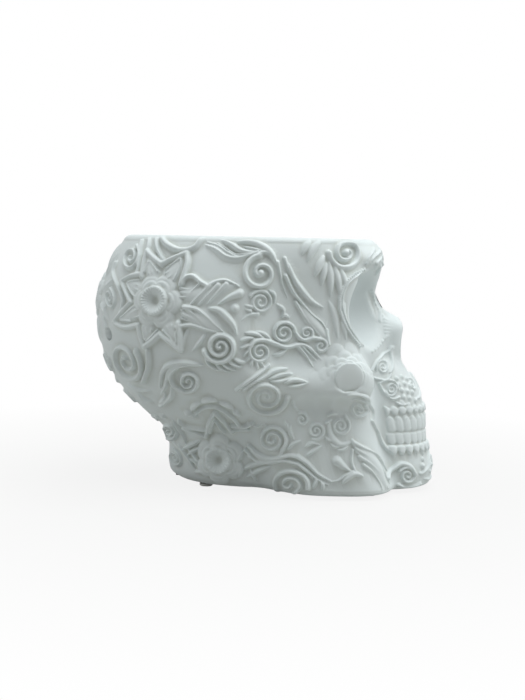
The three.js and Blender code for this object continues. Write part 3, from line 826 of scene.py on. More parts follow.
class Wall:
    """The right half of the skull's outside as a fine grid, from the face round to the back.

    Columns are bearings from the face, a little closer at the front, and rows are heights.
    """

    CROWDING: ClassVar[float] = 0.12
    EDGE_GAP: ClassVar[float] = 0.02
    COARSE_COLUMNS: ClassVar[int] = 181
    COARSE_ROWS: ClassVar[int] = 131
    MARGIN: ClassVar[float] = 1.5
    FINE_STEPS: ClassVar[int] = 14
    PATCH: ClassVar[int] = 9
    MIDDLE: ClassVar[float] = 0.02

    def __init__(self, head: Head, columns: int, rows: int) -> None:
        """Works the grid out: a coarse grid first, then each fine ray searched near the coarse radius.

        Args:
            head: the form.
            columns: columns from the face to the back.
            rows: rows from the foot to the crown.
        """
        self.head = head
        turn = np.linspace(0.0, np.pi, columns)
        self.bearing = turn - self.CROWDING * np.sin(turn)
        self.height = np.linspace(head.FOOT + self.EDGE_GAP, head.HEIGHT - self.EDGE_GAP, rows)
        coarse_bearing = np.linspace(0.0, np.pi, self.COARSE_COLUMNS)
        coarse_height = np.linspace(self.height[0], self.height[-1], self.COARSE_ROWS)
        coarse = head.reach(head.footed, coarse_bearing[None, :], coarse_height[:, None])
        around = np.pad(coarse, 1, mode="edge")
        shifts = [
            around[i : i + coarse.shape[0], j : j + coarse.shape[1]] for i in range(3) for j in range(3)
        ]
        column = np.interp(self.bearing, coarse_bearing, np.arange(self.COARSE_COLUMNS))[None, :]
        row = np.interp(self.height, coarse_height, np.arange(self.COARSE_ROWS))[:, None]
        near = np.maximum(self._between(np.min(shifts, 0) - self.MARGIN, row, column), 0.0)
        far = self._between(np.max(shifts, 0) + self.MARGIN, row, column)
        self.radius = head.reach(
            head.footed, self.bearing[None, :], self.height[:, None], 0.0, near, far, self.FINE_STEPS
        )
        z = np.repeat(self.height[:, None], columns, 1)
        x = head.spine(z) + self.radius * np.cos(self.bearing)
        y = -self.radius * np.sin(self.bearing)
        self.points = np.stack([x, y, z], -1)
        self.normals = self._normals()

    @staticmethod
    def _between(table: Array, row: Array, column: Array) -> Array:
        """Values of a table between its rows and columns, by straight-line steps both ways.

        Args:
            table: values by row and column.
            row: row numbers, with fractions.
            column: column numbers, with fractions.

        Returns:
            The values.
        """
        i = np.clip(row.astype(int), 0, table.shape[0] - 2)
        j = np.clip(column.astype(int), 0, table.shape[1] - 2)
        a = row - i
        b = column - j
        low = table[i, j] * (1 - b) + table[i, j + 1] * b
        high = table[i + 1, j] * (1 - b) + table[i + 1, j + 1] * b
        return low * (1 - a) + high * a

    def _normals(self) -> Array:
        """Outward normals: the cross product of the grid's two directions.

        Returns:
            A unit vector at each point of the grid.
        """
        up = np.gradient(self.points, axis=0)
        round_back = np.gradient(self.points, axis=1)
        round_back[:, (0, -1), 0] = 0.0
        normal = np.cross(up, round_back)
        return normal / (np.linalg.norm(normal, axis=-1, keepdims=True) + TINY)

    def at(self, bearing: Array, height: Array) -> Array:
        """Points of the wall at bearings (radians) and heights, between the grid's points.

        Args:
            bearing: the bearings.
            height: the heights.

        Returns:
            The points.
        """
        column = np.interp(bearing, self.bearing, np.arange(len(self.bearing)))
        row = np.interp(height, self.height, np.arange(len(self.height)))
        radius = self._between(self.radius, row, column)
        x = self.head.spine(height) + radius * np.cos(bearing)
        return np.stack([x, -radius * np.sin(bearing), height], -1)

    def bearings_of(self, points: Array) -> tuple[Array, Array]:
        """Bearings (radians, below 0 on the left side) and heights of points."""
        bearing = np.arctan2(-points[..., 1], points[..., 0] - self.head.spine(points[..., 2]))
        return bearing, points[..., 2]

    def local(self, bearing: float, height: float) -> tuple[Array, Array]:
        """A spot's place and its own directions: level towards the face, upwards, and out of the wall.

        Args:
            bearing: radians from the face.
            height: millimetres.

        Returns:
            The place, and the three directions as rows.
        """
        column = int(np.clip(np.searchsorted(self.bearing, bearing), 0, len(self.bearing) - 1))
        row = int(np.clip(np.searchsorted(self.height, height), 0, len(self.height) - 1))
        rows = slice(max(row - self.PATCH, 0), row + self.PATCH + 1)
        columns = slice(max(column - self.PATCH, 0), column + self.PATCH + 1)
        out = self.normals[rows, columns].mean((0, 1))
        if min(bearing, np.pi - bearing) < self.MIDDLE:
            out[1] = 0.0
        out /= np.linalg.norm(out)
        level = np.cross((0.0, 0.0, 1.0), out)
        level *= 1.0 if bearing < np.pi - self.MIDDLE else -1.0
        level /= np.linalg.norm(level)
        up = np.cross(out, level)
        up *= np.sign(up[2])
        place = self.at(np.array([bearing]), np.array([height]))[0]
        return place, np.stack([level, up, out])


class Relief:
    """Heights of the ornament over the wall, each motif laid on by its greatest height."""

    DEEPEST: ClassVar[float] = 0.6

    def __init__(self, wall: Wall, view: Viewpoint) -> None:
        """Starts with a bare wall.

        Args:
            wall: the wall that is carved.
            view: the viewpoint that seen places are cast from.
        """
        self.wall = wall
        self.view = view
        self.flat = wall.points.reshape(-1, 3)
        self.raised = np.zeros(len(self.flat))
        self.sunk = np.zeros(len(self.flat))
        self.known: dict[Spot, Spot] = {}

    def learn(self, spots: set[Spot]) -> None:
        """Casts seen places onto the wall, all at once.

        Args:
            spots: pixel places.
        """
        order = sorted({self.key(spot) for spot in spots})
        points = self.view.cast(self.wall.head, np.array(order, float))
        bearing, height = self.wall.bearings_of(points)
        self.known.update(zip(order, zip(bearing.tolist(), height.tolist())))

    @staticmethod
    def key(spot: Spot) -> Spot:
        """A place to the nearest hundredth, which it is known by."""
        return round(spot[0], 2), round(spot[1], 2)

    def where(self, spots: Sequence[Spot], sheet: Sheet) -> Array:
        """Bearings (radians) and heights of a motif's places.

        Args:
            spots: the places, as their sheet gives them.
            sheet: the sheet they are drawn on.

        Returns:
            One row of bearing and height for each place.
        """
        if sheet is Sheet.SEEN:
            return np.array([self.known[spot] for spot in map(self.key, spots)])
        return np.array([(math.radians(bearing), height) for bearing, height in spots])

    def lay(self, near: Array, height: Array) -> None:
        """Raises some of the wall's points to at least these heights."""
        self.raised[near] = np.maximum(self.raised[near], height)

    def around(self, low: Array, high: Array) -> Array:
        """Numbers of the wall's points inside a box."""
        return np.flatnonzero(((self.flat > low) & (self.flat < high)).all(1))

    def stroke(self, line: Array, width: Array, rise: Array, section: Section) -> None:
        """Raises a ridge along a line by the distance from it.

        Args:
            line: points on the wall, one row each.
            width: full widths along the line.
            rise: heights along the line.
            section: the ridge's cross-section.
        """
        reach = width.max() / 2
        near = self.around(line.min(0) - reach, line.max(0) + reach)
        if not len(near):
            return
        start = line[:-1]
        run = line[1:] - start
        length = (run * run).sum(1) + TINY
        off = self.flat[near][:, None, :] - start
        along = unit((off * run).sum(-1) / length)
        gap = ((off - along[..., None] * run) ** 2).sum(-1)
        best = gap.argmin(1)
        rows = np.arange(len(near))
        place = best + along[rows, best]
        steps = np.arange(len(line))
        half = np.interp(place, steps, width) / 2
        share = section.rise(np.sqrt(gap[rows, best]) / half)
        self.lay(near, share * np.interp(place, steps, rise))

    def polar(self, spot: Array, reach: float) -> tuple[Array, Array, Array]:
        """Points near a spot in its own flat polar coordinates.

        Args:
            spot: bearing and height.
            reach: how far out to go.

        Returns:
            The points' numbers, their distances, and their angles from level towards the face.
        """
        place, ways = self.wall.local(*spot)
        near = self.around(place - reach, place + reach)
        flat = (self.flat[near] - place) @ ways.T
        inside = np.abs(flat[:, 2]) < self.DEEPEST * reach
        flat = flat[inside]
        return near[inside], np.hypot(flat[:, 0], flat[:, 1]), np.arctan2(flat[:, 1], flat[:, 0])


@dataclass(frozen=True)
class Stroke:
    """A raised stroke through a few places."""

    spots: tuple[Spot, ...]
    width: float
    rise: float
    taper: Taper = Taper.EVEN
    section: Section = Section.ROPE
    sheet: Sheet = Sheet.SEEN

    FINENESS: ClassVar[int] = 10
    FALL: ClassVar[float] = 0.6

    def carve(self, relief: Relief) -> None:
        """Draws a smooth curve through the places, each a cubic between neighbours, and raises it.

        Args:
            relief: the relief it is added to.
        """
        spots = relief.where(self.spots, self.sheet)
        count = len(spots)
        steps = np.linspace(0.0, count - 1.0, self.FINENESS * count)
        order = np.arange(count)
        bearing = smooth_through(order, spots[:, 0], steps)
        height = smooth_through(order, spots[:, 1], steps)
        line = relief.wall.at(bearing, height)
        length = run_along(line)
        share = self.taper.share(length / (length[-1] + TINY))
        relief.stroke(line, self.width * share, self.rise * share**self.FALL, self.section)


@dataclass(frozen=True)
class Scroll:
    """A spiral rope: its turns widen evenly from an eye to a radius, at an angle seen from outside.

    A seen scroll's radius is in pixels of the photograph's frame, any other's in millimetres. Angles run
    from level towards the face (0) to upwards (90), and unwinding goes that way for turns above 0. The
    spiral may be taller than it is wide, and lean over against the clock.
    """

    at: Spot
    radius: float
    turns: float
    ends: float
    width: float
    rise: float
    tall: float = 1.0
    lean: float = 0.0
    eye: float = 0.0
    sheet: Sheet = Sheet.SEEN

    FINENESS: ClassVar[int] = 26
    EYE_SHARE: ClassVar[float] = 0.1
    WIDENING: ClassVar[float] = 0.9
    THIN_END: ClassVar[float] = 0.6
    EYE_RISE: ClassVar[float] = 1.15

    def spiral(self) -> tuple[Array, Array]:
        """The spiral's middle line about its eye, across and upwards.

        Returns:
            The steps across and the steps up.
        """
        part = np.linspace(0.0, 1.0, int(self.FINENESS * abs(self.turns)) + 4)
        angle = math.radians(self.ends) - 2 * np.pi * self.turns * (1.0 - part)
        radius = self.radius * (self.EYE_SHARE + (1.0 - self.EYE_SHARE) * part**self.WIDENING)
        across = radius * np.cos(angle)
        up = radius * np.sin(angle) * self.tall
        lean = math.radians(self.lean)
        return across * math.cos(lean) - up * math.sin(lean), across * math.sin(lean) + up * math.cos(lean)

    @property
    def spots(self) -> tuple[Spot, ...]:
        """Its eye, and for a seen scroll the places along its line.

        Returns:
            The places.
        """
        if self.sheet is Sheet.ROUND:
            return (self.at,)
        across, up = self.spiral()
        return (self.at, *zip((self.at[0] + across).tolist(), (self.at[1] - up).tolist()))

    def carve(self, relief: Relief) -> None:
        """Raises the rope along the spiral, thinner at its eye, and a ball in the eye if there is one.

        Args:
            relief: the relief it is added to.
        """
        spots = relief.where(self.spots, self.sheet)
        if self.sheet is Sheet.SEEN:
            line = relief.wall.at(spots[1:, 0], spots[1:, 1])
        else:
            place, ways = relief.wall.local(*spots[0])
            across, up = self.spiral()
            points = place + across[:, None] * ways[0] + up[:, None] * ways[1]
            line = relief.wall.at(*relief.wall.bearings_of(points))
        share = np.linspace(self.THIN_END, 1.0, len(line))
        relief.stroke(line, self.width * share, self.rise * share**0.5, Section.ROPE)
        if self.eye:
            near, distance, _ = relief.polar(spots[0], 1.2 * self.eye)
            relief.lay(near, self.EYE_RISE * self.rise * Section.ROPE.rise(distance / self.eye))


class Single:
    """A motif about one place."""

    at: Spot
    sheet: Sheet

    @property
    def spots(self) -> tuple[Spot, ...]:
        """The one place it is known by."""
        return (self.at,)

    def round_it(self, relief: Relief, reach: float) -> tuple[Array, Array, Array]:
        """The wall's points within reach of its place: numbers, distances and angles."""
        return relief.polar(relief.where(self.spots, self.sheet)[0], reach)


@dataclass(frozen=True)
class Bead(Single):
    """A raised bead."""

    at: Spot
    radius: float
    rise: float
    sheet: Sheet = Sheet.SEEN

    def carve(self, relief: Relief) -> None:
        """Raises a round bead by the distance from its middle."""
        near, distance, _ = self.round_it(relief, 1.3 * self.radius)
        relief.lay(near, self.rise * Section.ROPE.rise(distance / self.radius))


@dataclass(frozen=True)
class Hollow(Single):
    """A soft round hollow in the ground."""

    at: Spot
    radius: float
    depth: float
    sheet: Sheet = Sheet.SEEN

    def carve(self, relief: Relief) -> None:
        """Sinks the ground by a soft swelling's share of the depth."""
        near, distance, _ = self.round_it(relief, self.radius)
        relief.sunk[near] += self.depth * Section.PILLOW.rise(distance / self.radius)


@dataclass(frozen=True)
class Tier:
    """One scalloped plate of a flower head, with a rolled edge."""

    lobes: int
    reach: float
    notch: float
    rise: float
    turned: float = 0.0

    LOBE_POWER: ClassVar[float] = 0.6
    EDGE: ClassVar[float] = 0.2
    ROLL: ClassVar[float] = 0.18
    ROLL_AT: ClassVar[float] = 0.86
    ROLL_WIDTH: ClassVar[float] = 0.1

    def height(self, distance: Array, angle: Array) -> Array:
        """Heights at places about the flower's middle.

        The outline's radius is the reach less the notch's share of it between lobes, by the cosine of the
        turn. The plate rises in a quarter round from that outline and is a little higher just inside it.

        Args:
            distance: distances from the middle.
            angle: turns from level towards the face.

        Returns:
            Heights, 0 beyond the outline.
        """
        turn = angle - math.radians(self.turned)
        lobe = np.abs(np.cos(0.5 * self.lobes * turn)) ** self.LOBE_POWER
        share = distance / (self.reach * (1.0 - self.notch * (1.0 - lobe)))
        edge = np.sqrt(unit((1.0 - share) / self.EDGE))
        roll = np.exp(-(((share - self.ROLL_AT) / self.ROLL_WIDTH) ** 2))
        return self.rise * edge * (1.0 - self.ROLL + self.ROLL * roll)


@dataclass(frozen=True)
class Rosette(Single):
    """A flower head: scalloped tiers about a fluted cup or a smooth button."""

    at: Spot
    heart: float
    rise: float
    tiers: tuple[Tier, ...]
    flutes: int = 0
    level: float = 0.0
    tip: float = 0.0
    sheet: Sheet = Sheet.SEEN

    FLUTE: ClassVar[float] = 0.4
    GROOVE: ClassVar[float] = 0.35
    GROOVE_AT: ClassVar[float] = 1.04
    GROOVE_WIDTH: ClassVar[float] = 0.06

    def carve(self, relief: Relief) -> None:
        """Lays each tier, then the heart with a fine groove round it.

        The fluted heart is a cup that rises to its edge, with a pit in its middle and cosine flutes across
        it. The smooth heart is a low dome, lifted towards its edge where the ground under it curves away.
        The tip turns it to face down by the sine of the turn, and the tiers sink away below it.

        Args:
            relief: the relief it is added to.
        """
        reach = max([self.heart] + [tier.reach for tier in self.tiers])
        near, distance, angle = self.round_it(relief, reach)
        lowered = unit(0.25 * self.tip * (1.0 - np.sin(angle)))
        for tier in self.tiers:
            relief.lay(near, tier.height(distance, angle) * (1.0 - lowered))
        share = distance / self.heart
        inside = share < 1.0
        if self.flutes:
            cup = self.rise * (0.1 + 0.9 * unit((share - 0.2) / 0.6) ** 0.8)
            spread = unit((share - 0.3) * 5.0) * unit((0.96 - share) * 8.0)
            heart = cup + self.FLUTE * np.cos(self.flutes * angle) * spread
        else:
            heart = self.rise * (0.9 + 0.1 * np.sqrt(1.0 - unit(share) ** 2))
            heart += share * (self.level * (share - 0.35 * np.cos(angle)) + self.tip * np.sin(angle))
        relief.raised[near[inside]] = heart[inside]
        groove = np.exp(-(((share - self.GROOVE_AT) / self.GROOVE_WIDTH) ** 2))
        relief.raised[near] -= self.GROOVE * groove


@dataclass(frozen=True)
class TeethRow:
    """A row of raised rounded blocks side by side round the dental arch.

    Each block spans one pitch of the arch's length and falls by the groove's share towards its neighbours.
    Its lower and upper ends are rounded by their own drops.
    """

    low: float
    high: float
    pitch: float
    count: int
    rise: float
    round_low: float
    round_high: float
    groove: float = 0.6
    phase: float = 0.0

    EDGE: ClassVar[float] = 0.8
    spots: ClassVar[tuple[Spot, ...]] = ()
    sheet: ClassVar[Sheet] = Sheet.ROUND

    def carve(self, relief: Relief) -> None:
        """Raises each block to a flat-topped round section, sloping off at its ends.

        Args:
            relief: the relief it is added to.
        """
        wall = relief.wall
        level = 0.5 * (self.low + self.high)
        row = int(np.searchsorted(wall.height, level))
        length = run_along(wall.points[row])
        rows = (wall.height > self.low - 1.0) & (wall.height < self.high + 1.0)
        columns = length < self.count * self.pitch
        place = length[columns] / self.pitch + self.phase
        off = np.abs(2.0 * (place % 1.0) - 1.0)[None, :]
        z = wall.height[rows][:, None]
        low = self.low + self.round_low * off**2
        high = self.high - self.round_high * off**2
        across = 1.0 - self.groove * off**3
        ends = unit((z - low) / self.EDGE) * unit((high - z) / self.EDGE)
        block = self.rise * across * ends**0.5
        where = np.flatnonzero((rows[:, None] & columns[None, :]).ravel())
        relief.lay(where, block.ravel())


Motif = Stroke | Scroll | Bead | Hollow | Rosette | TeethRow
Motifs = tuple[Motif, ...]


@dataclass(frozen=True)
class Brush:
    """A way to draw strokes: how they taper, their section, and what their places are measured on."""

    taper: Taper = Taper.EVEN
    section: Section = Section.ROPE
    sheet: Sheet = Sheet.SEEN

    def __call__(self, width: float, rise: float, *spots: Spot) -> Stroke:
        """One stroke through some places."""
        return Stroke(spots, width, rise, self.taper, self.section, self.sheet)

    def each(self, width: float, rise: float, *lines: tuple[Spot, ...]) -> tuple[Stroke, ...]:
        """Strokes of one size, one along each line of places."""
        return tuple(self(width, rise, *line) for line in lines)


VINE = Brush()
TAIL = Brush(Taper.TAIL)
DROP = Brush(Taper.DROP)
BLADE = Brush(Taper.LEAF)
LEAF = Brush(Taper.LEAF, Section.RIBBED)
PILLOW = Brush(Taper.LEAF, Section.PILLOW)
ROUND_VINE = Brush(sheet=Sheet.ROUND)
ROUND_DROP = Brush(Taper.DROP, sheet=Sheet.ROUND)
ROUND_LEAF = Brush(Taper.LEAF, Section.RIBBED, Sheet.ROUND)


def beads(radius: float, rise: float, *spots: Spot) -> tuple[Bead, ...]:
    """Seen beads of one size."""
    return tuple(Bead(spot, radius, rise) for spot in spots)


def beading(radius: float, rise: float, count: int, *spots: Spot) -> tuple[Bead, ...]:
    """Seen beads spaced evenly along a broken line.

    Args:
        radius: each bead's radius, in mm.
        rise: each bead's height, in mm.
        count: how many beads.
        spots: the line's corners, in the photograph's pixels.

    Returns:
        The beads in order.
    """
    line = np.array(spots, dtype=float)
    run = run_along(line)
    steps = np.linspace(0.0, run[-1], count)
    across, down = (np.interp(steps, run, line[:, axis]).tolist() for axis in (0, 1))
    return beads(radius, rise, *zip(across, down))


# The big flower behind the temple: fluted cup, three scalloped tiers, six pointed petals
BACK_FLOWER: Motifs = (
    *PILLOW.each(
        11.5, 1.6,
        ((155, 286), (151, 268), (147, 252)), ((162, 288), (174, 270), (185, 255)),
        ((146, 292), (134, 286), (124, 281)), ((144, 306), (130, 314), (117, 321)),
        ((150, 316), (146, 332), (144, 345)), ((163, 316), (171, 332), (178, 347)),
    ),
    *VINE.each(
        3.2, 2.4,
        ((142, 277), (144, 262), (147, 251)), ((187, 253), (187, 264), (181, 283)),
        ((141, 274), (131, 276), (122, 281)), ((122, 281), (126, 292), (131, 302)),
        ((131, 302), (122, 312), (114, 322)), ((114, 322), (125, 327), (138, 325)),
        ((138, 325), (140, 335), (144, 347)), ((180, 350), (180, 336), (178, 323)),
    ),
    *VINE.each(
        3.4, 2.5,
        ((147, 251), (154, 258), (162, 264)), ((162, 264), (174, 258), (187, 253)),
        ((144, 347), (152, 341), (160, 334)), ((160, 334), (169, 341), (180, 350)),
    ),
    *VINE.each(
        1.5, 2.1,
        ((166, 269), (173, 264), (181, 259), (179, 270), (174, 280)),
        ((145, 272), (149, 262), (154, 266), (158, 272)),
    ),
    *VINE.each(
        1.4, 2.1,
        ((138, 280), (128, 283), (131, 291), (135, 297)), ((135, 306), (127, 313), (121, 319), (130, 321)),
        ((143, 327), (146, 340), (153, 335), (157, 330)), ((163, 330), (169, 336), (176, 344), (176, 332)),
    ),
    *TAIL.each(
        1.3, 2.2,
        ((149, 274), (150, 267), (149, 264)), ((153, 273), (153, 269), (152, 267)),
        ((166, 274), (171, 270), (175, 266)), ((169, 278), (174, 273), (178, 268)),
        ((138, 285), (134, 284), (131, 285)), ((138, 290), (135, 289), (132, 288)),
        ((137, 310), (131, 313), (126, 317)), ((140, 316), (134, 318), (129, 319)),
        ((147, 328), (147, 333), (147, 337)), ((152, 329), (151, 333), (150, 335)),
        ((167, 327), (170, 333), (173, 338)), ((172, 325), (174, 331), (175, 336)),
    ),
    Rosette(
        (155.5, 301), 6.6, 4.0,
        (Tier(6, 13.4, 0.2, 1.9), Tier(6, 11.0, 0.18, 2.5), Tier(6, 8.8, 0.14, 2.9, 30.0)),
        flutes=26,
    ),
)

# Two long leaves that grow forwards from the big flower, with slanting folds, and what lies at their tips
FLOWER_LEAVES: Motifs = (
    PILLOW(11.0, 1.4, (180, 292), (200, 294), (218, 288), (234, 285)),
    VINE(2.4, 2.3, (180, 284), (186, 277), (193, 276), (201, 282), (208, 286)),
    TAIL(2.8, 2.4, (207, 287), (215, 282), (224, 280), (231, 282), (239, 286)),
    TAIL(1.6, 1.9, (199, 284), (192, 291), (185, 300)),
    *TAIL.each(3.0, 2.3, ((210, 286), (201, 294), (189, 305)), ((218, 285), (210, 293), (198, 305))),
    TAIL(2.8, 2.1, (226, 284), (218, 292), (207, 304)),
    *TAIL.each(
        1.2, 1.6,
        ((180, 288), (188, 289), (194, 288)), ((181, 292), (187, 293), (191, 293)),
        ((180, 297), (185, 297), (189, 297)),
    ),
    PILLOW(10.5, 1.3, (180, 312), (198, 318), (212, 325), (222, 332)),
    TAIL(2.8, 2.3, (184, 307), (196, 309), (206, 316), (214, 324), (225, 333)),
    TAIL(2.4, 2.0, (186, 308), (196, 316), (206, 326), (214, 330)),
    TAIL(2.2, 1.9, (183, 314), (193, 319), (203, 328)),
    TAIL(2.4, 2.1, (176, 327), (190, 325), (204, 329), (222, 334)),
    *TAIL.each(1.2, 1.5, ((181, 310), (186, 313), (190, 317)), ((181, 318), (186, 320), (191, 323))),
    BLADE(3.4, 2.2, (208, 308), (219, 310), (228, 318), (234, 326), (237, 335)),
    DROP(4.2, 2.4, (240, 293), (230, 297), (218, 304)),
    Bead((235, 308), 2.1, 1.9),
    BLADE(2.2, 1.6, (205, 334), (199, 343), (192, 352)),
    BLADE(1.6, 1.2, (188, 328), (184, 338), (183, 350)),
)

# Scrolls and leaves under the crown's edge
CROWN_SCROLLS: Motifs = (
    Scroll((130.5, 257), 8.5, 1.8, 75.0, 2.6, 2.1, 1.6, -18.0),
    Scroll((109, 298), 5.0, 1.8, 60.0, 2.0, 1.7, 2.2, 10.0),
    VINE(2.4, 1.6, (115, 262), (112, 272), (117, 286), (122, 300), (119, 314)),
    VINE(2.2, 1.5, (104, 308), (104, 322), (108, 336)),
    *VINE.each(
        2.4, 1.7,
        ((141, 240), (139, 252), (138, 266), (135, 276)), ((156, 238), (157, 248), (163, 259)),
    ),
    VINE(2.2, 1.6, (149, 238), (148, 244), (147, 250)),
    VINE(3.2, 2.3, (162, 237), (168, 245), (181, 250), (194, 247), (202, 238)),
    LEAF(5.0, 1.9, (205, 244), (216, 249), (226, 256), (238, 258), (250, 255), (262, 252)),
    TAIL(1.9, 2.1, (258, 252), (240, 257), (228, 252), (218, 245), (207, 241)),
    TAIL(1.6, 1.9, (250, 254), (236, 254), (226, 248), (217, 242)),
    BLADE(3.2, 2.2, (221, 239), (231, 244), (240, 250), (250, 252), (262, 251)),
    BLADE(4.0, 2.3, (237, 241), (252, 242), (264, 247), (272, 254), (278, 266)),
    BLADE(2.2, 1.9, (243, 246), (254, 249), (268, 252)),
    Scroll((261, 273), 18.0, -1.5, 95.0, 2.9, 2.4, eye=1.9),
    TAIL(2.8, 2.3, (258, 255), (264, 252), (271, 255), (277, 264)),
    Scroll((261, 302), 12.0, 2.2, 150.0, 1.7, 1.6),
    BLADE(1.9, 1.5, (269, 290), (275, 295), (275, 304)),
    DROP(2.0, 1.5, (252, 307), (245, 305)),
    DROP(1.8, 1.5, (251, 311), (245, 309)),
    DROP(2.2, 1.5, (258, 314), (249, 315), (242, 321)),
    BLADE(2.0, 1.5, (277, 304), (284, 310), (282, 318)),
    BLADE(1.7, 1.3, (281, 318), (285, 315), (290, 318)),
)

# Strands that fall from the crown along the temple to the cheek
TEMPLE_RIBBONS: Motifs = (
    *TAIL.each(
        1.8, 1.4,
        ((278, 262), (281, 276), (283, 286), (288, 298)), ((285, 258), (289, 270), (295, 283), (302, 296)),
    ),
    BLADE(3.0, 1.8, (288, 262), (294, 278), (302, 290), (312, 301), (324, 308)),
    PILLOW(6.5, 1.2, (300, 304), (310, 319), (319, 329), (329, 340)),
    TAIL(2.2, 1.9, (286, 276), (293, 291), (303, 304), (313, 315), (322, 322), (327, 330)),
    TAIL(1.8, 1.5, (296, 302), (305, 317), (315, 330), (328, 344)),
    VINE(1.6, 1.2, (327, 330), (328, 338), (329, 344)),
    BLADE(3.4, 1.0, (329, 301), (335, 316), (338, 338)),
    *BLADE.each(2.6, 0.9, ((341, 321), (345, 330), (347, 340)), ((345, 302), (344, 312), (346, 322))),
)

# Scroll and palm leaf on the side of the forehead
FOREHEAD_PALM: Motifs = (
    BLADE(4.0, 1.5, (309, 239), (306, 247), (302, 255)),
    BLADE(4.4, 1.7, (319, 239), (313, 250), (308, 262)),
    BLADE(4.0, 1.7, (325, 255), (320, 266), (315, 277)),
    *BLADE.each(3.6, 1.7, ((327, 262), (324, 274), (322, 286)), ((338, 264), (344, 277), (346, 291))),
    *BLADE.each(4.2, 1.8, ((329, 260), (331, 278), (331, 297)), ((333, 260), (338, 278), (341, 297))),
    TAIL(1.2, 1.2, (343, 274), (347, 278), (350, 282)),
    Scroll((346, 253), 16.5, -1.8, 180.0, 3.4, 2.5, eye=2.0),
    VINE(1.3, 1.0, (376, 247), (371, 255), (367, 264)),
    *BLADE.each(2.0, 1.3, ((381, 249), (376, 256), (372, 266)), ((383, 256), (378, 263), (375, 272))),
    BLADE(1.8, 1.2, (383, 264), (380, 270), (377, 277)),
)

# A fine ridge round the near side of the eye with beads along it, and smaller beads on its far side
EYE_RIM: Motifs = (
    VINE(1.4, 1.4, (368, 271), (360, 274), (352, 280), (346, 288), (343, 298), (343, 308), (346, 318)),
    VINE(1.4, 1.3, (346, 318), (350, 327), (356, 336), (364, 345)),
    *beading(0.9, 1.7, 22, (365, 270), (357, 273), (349, 279), (343, 288), (340, 298), (340, 308)),
    *beading(0.9, 1.7, 20, (340, 310), (343, 319), (347, 328), (353, 337), (361, 346)),
    *beading(1.1, 0.7, 14, (374, 291), (377, 299), (381, 307), (385, 316), (387, 326), (387, 336)),
    *beading(1.1, 0.7, 6, (386, 338), (381, 346), (374, 351)),
)

# Vines with scrolls between the cheek and the ear
CHEEK_VINES: Motifs = (
    Scroll((220, 347), 16.5, -2.1, 195.0, 3.0, 2.5, eye=0.9),
    BLADE(2.2, 1.9, (204, 356), (210, 366), (222, 372)),
    *BLADE.each(
        2.0, 1.8,
        ((214, 362), (221, 369), (230, 373)), ((220, 363), (228, 368), (236, 371)),
        ((227, 361), (235, 366), (242, 367)),
    ),
    *BLADE.each(
        1.9, 1.6,
        ((233, 359), (240, 362), (246, 362)), ((240, 341), (249, 338), (257, 339)),
        ((270, 382), (282, 381), (292, 377)), ((288, 387), (298, 386), (308, 383)),
    ),
    Scroll((260, 352), 11.5, -2.0, 100.0, 1.8, 1.9),
    VINE(2.3, 2.1, (251, 346), (255, 341), (264, 340), (274, 343), (286, 347), (298, 345)),
    TAIL(2.4, 2.0, (296, 345), (304, 345), (312, 350), (322, 360)),
    TAIL(1.9, 1.7, (298, 346), (306, 355), (313, 366)),
    TAIL(1.5, 1.5, (303, 347), (310, 354), (317, 361)),
    BLADE(2.2, 1.7, (245, 333), (256, 334), (267, 340)),
    BLADE(2.0, 1.6, (256, 331), (266, 335), (274, 343)),
    BLADE(1.8, 1.5, (240, 349), (247, 346), (253, 344)),
    *BLADE.each(
        1.6, 1.4,
        ((243, 357), (247, 352), (251, 349)), ((246, 362), (249, 358), (251, 354)),
        ((251, 367), (252, 362), (253, 357)), ((258, 369), (257, 364), (256, 360)),
        ((265, 368), (262, 364), (258, 362)),
    ),
    BLADE(2.2, 1.6, (273, 355), (280, 354), (288, 349)),
    Scroll((284, 333), 11.5, -2.0, 15.0, 1.9, 1.9),
    VINE(1.9, 1.7, (294, 330), (299, 337), (305, 340), (313, 338), (321, 339)),
    Scroll((307, 333), 6.5, -1.4, 320.0, 1.4, 1.4),
    Scroll((321, 346), 7.0, 1.4, 90.0, 1.5, 1.5),
    VINE(2.0, 1.6, (236, 391), (248, 382), (260, 373), (269, 365)),
    VINE(1.8, 1.4, (243, 391), (254, 383), (266, 376)),
    BLADE(3.0, 2.0, (264, 378), (274, 371), (288, 368)),
    BLADE(2.2, 1.8, (268, 380), (280, 375), (293, 373)),
    BLADE(2.6, 1.8, (284, 384), (294, 380), (308, 382)),
)

# The flower on the cheekbone, a smooth button in scalloped tiers, and the undercut below the cheekbone
CHEEK_FLOWER: Motifs = (
    Hollow((352, 406), 9.0, 1.8),
    Hollow((334, 407), 9.0, 1.8),
    Hollow((314, 406), 9.0, 1.5),
    Rosette(
        (350, 379), 6.6, 0.2,
        (
            Tier(11, 18.0, 0.16, 1.0, 15.0), Tier(11, 15.0, 0.16, 1.8),
            Tier(10, 12.0, 0.15, 2.6, 8.0), Tier(10, 9.4, 0.12, 3.4, 18.0),
        ),
        level=1.0, tip=2.9,
    ),
)

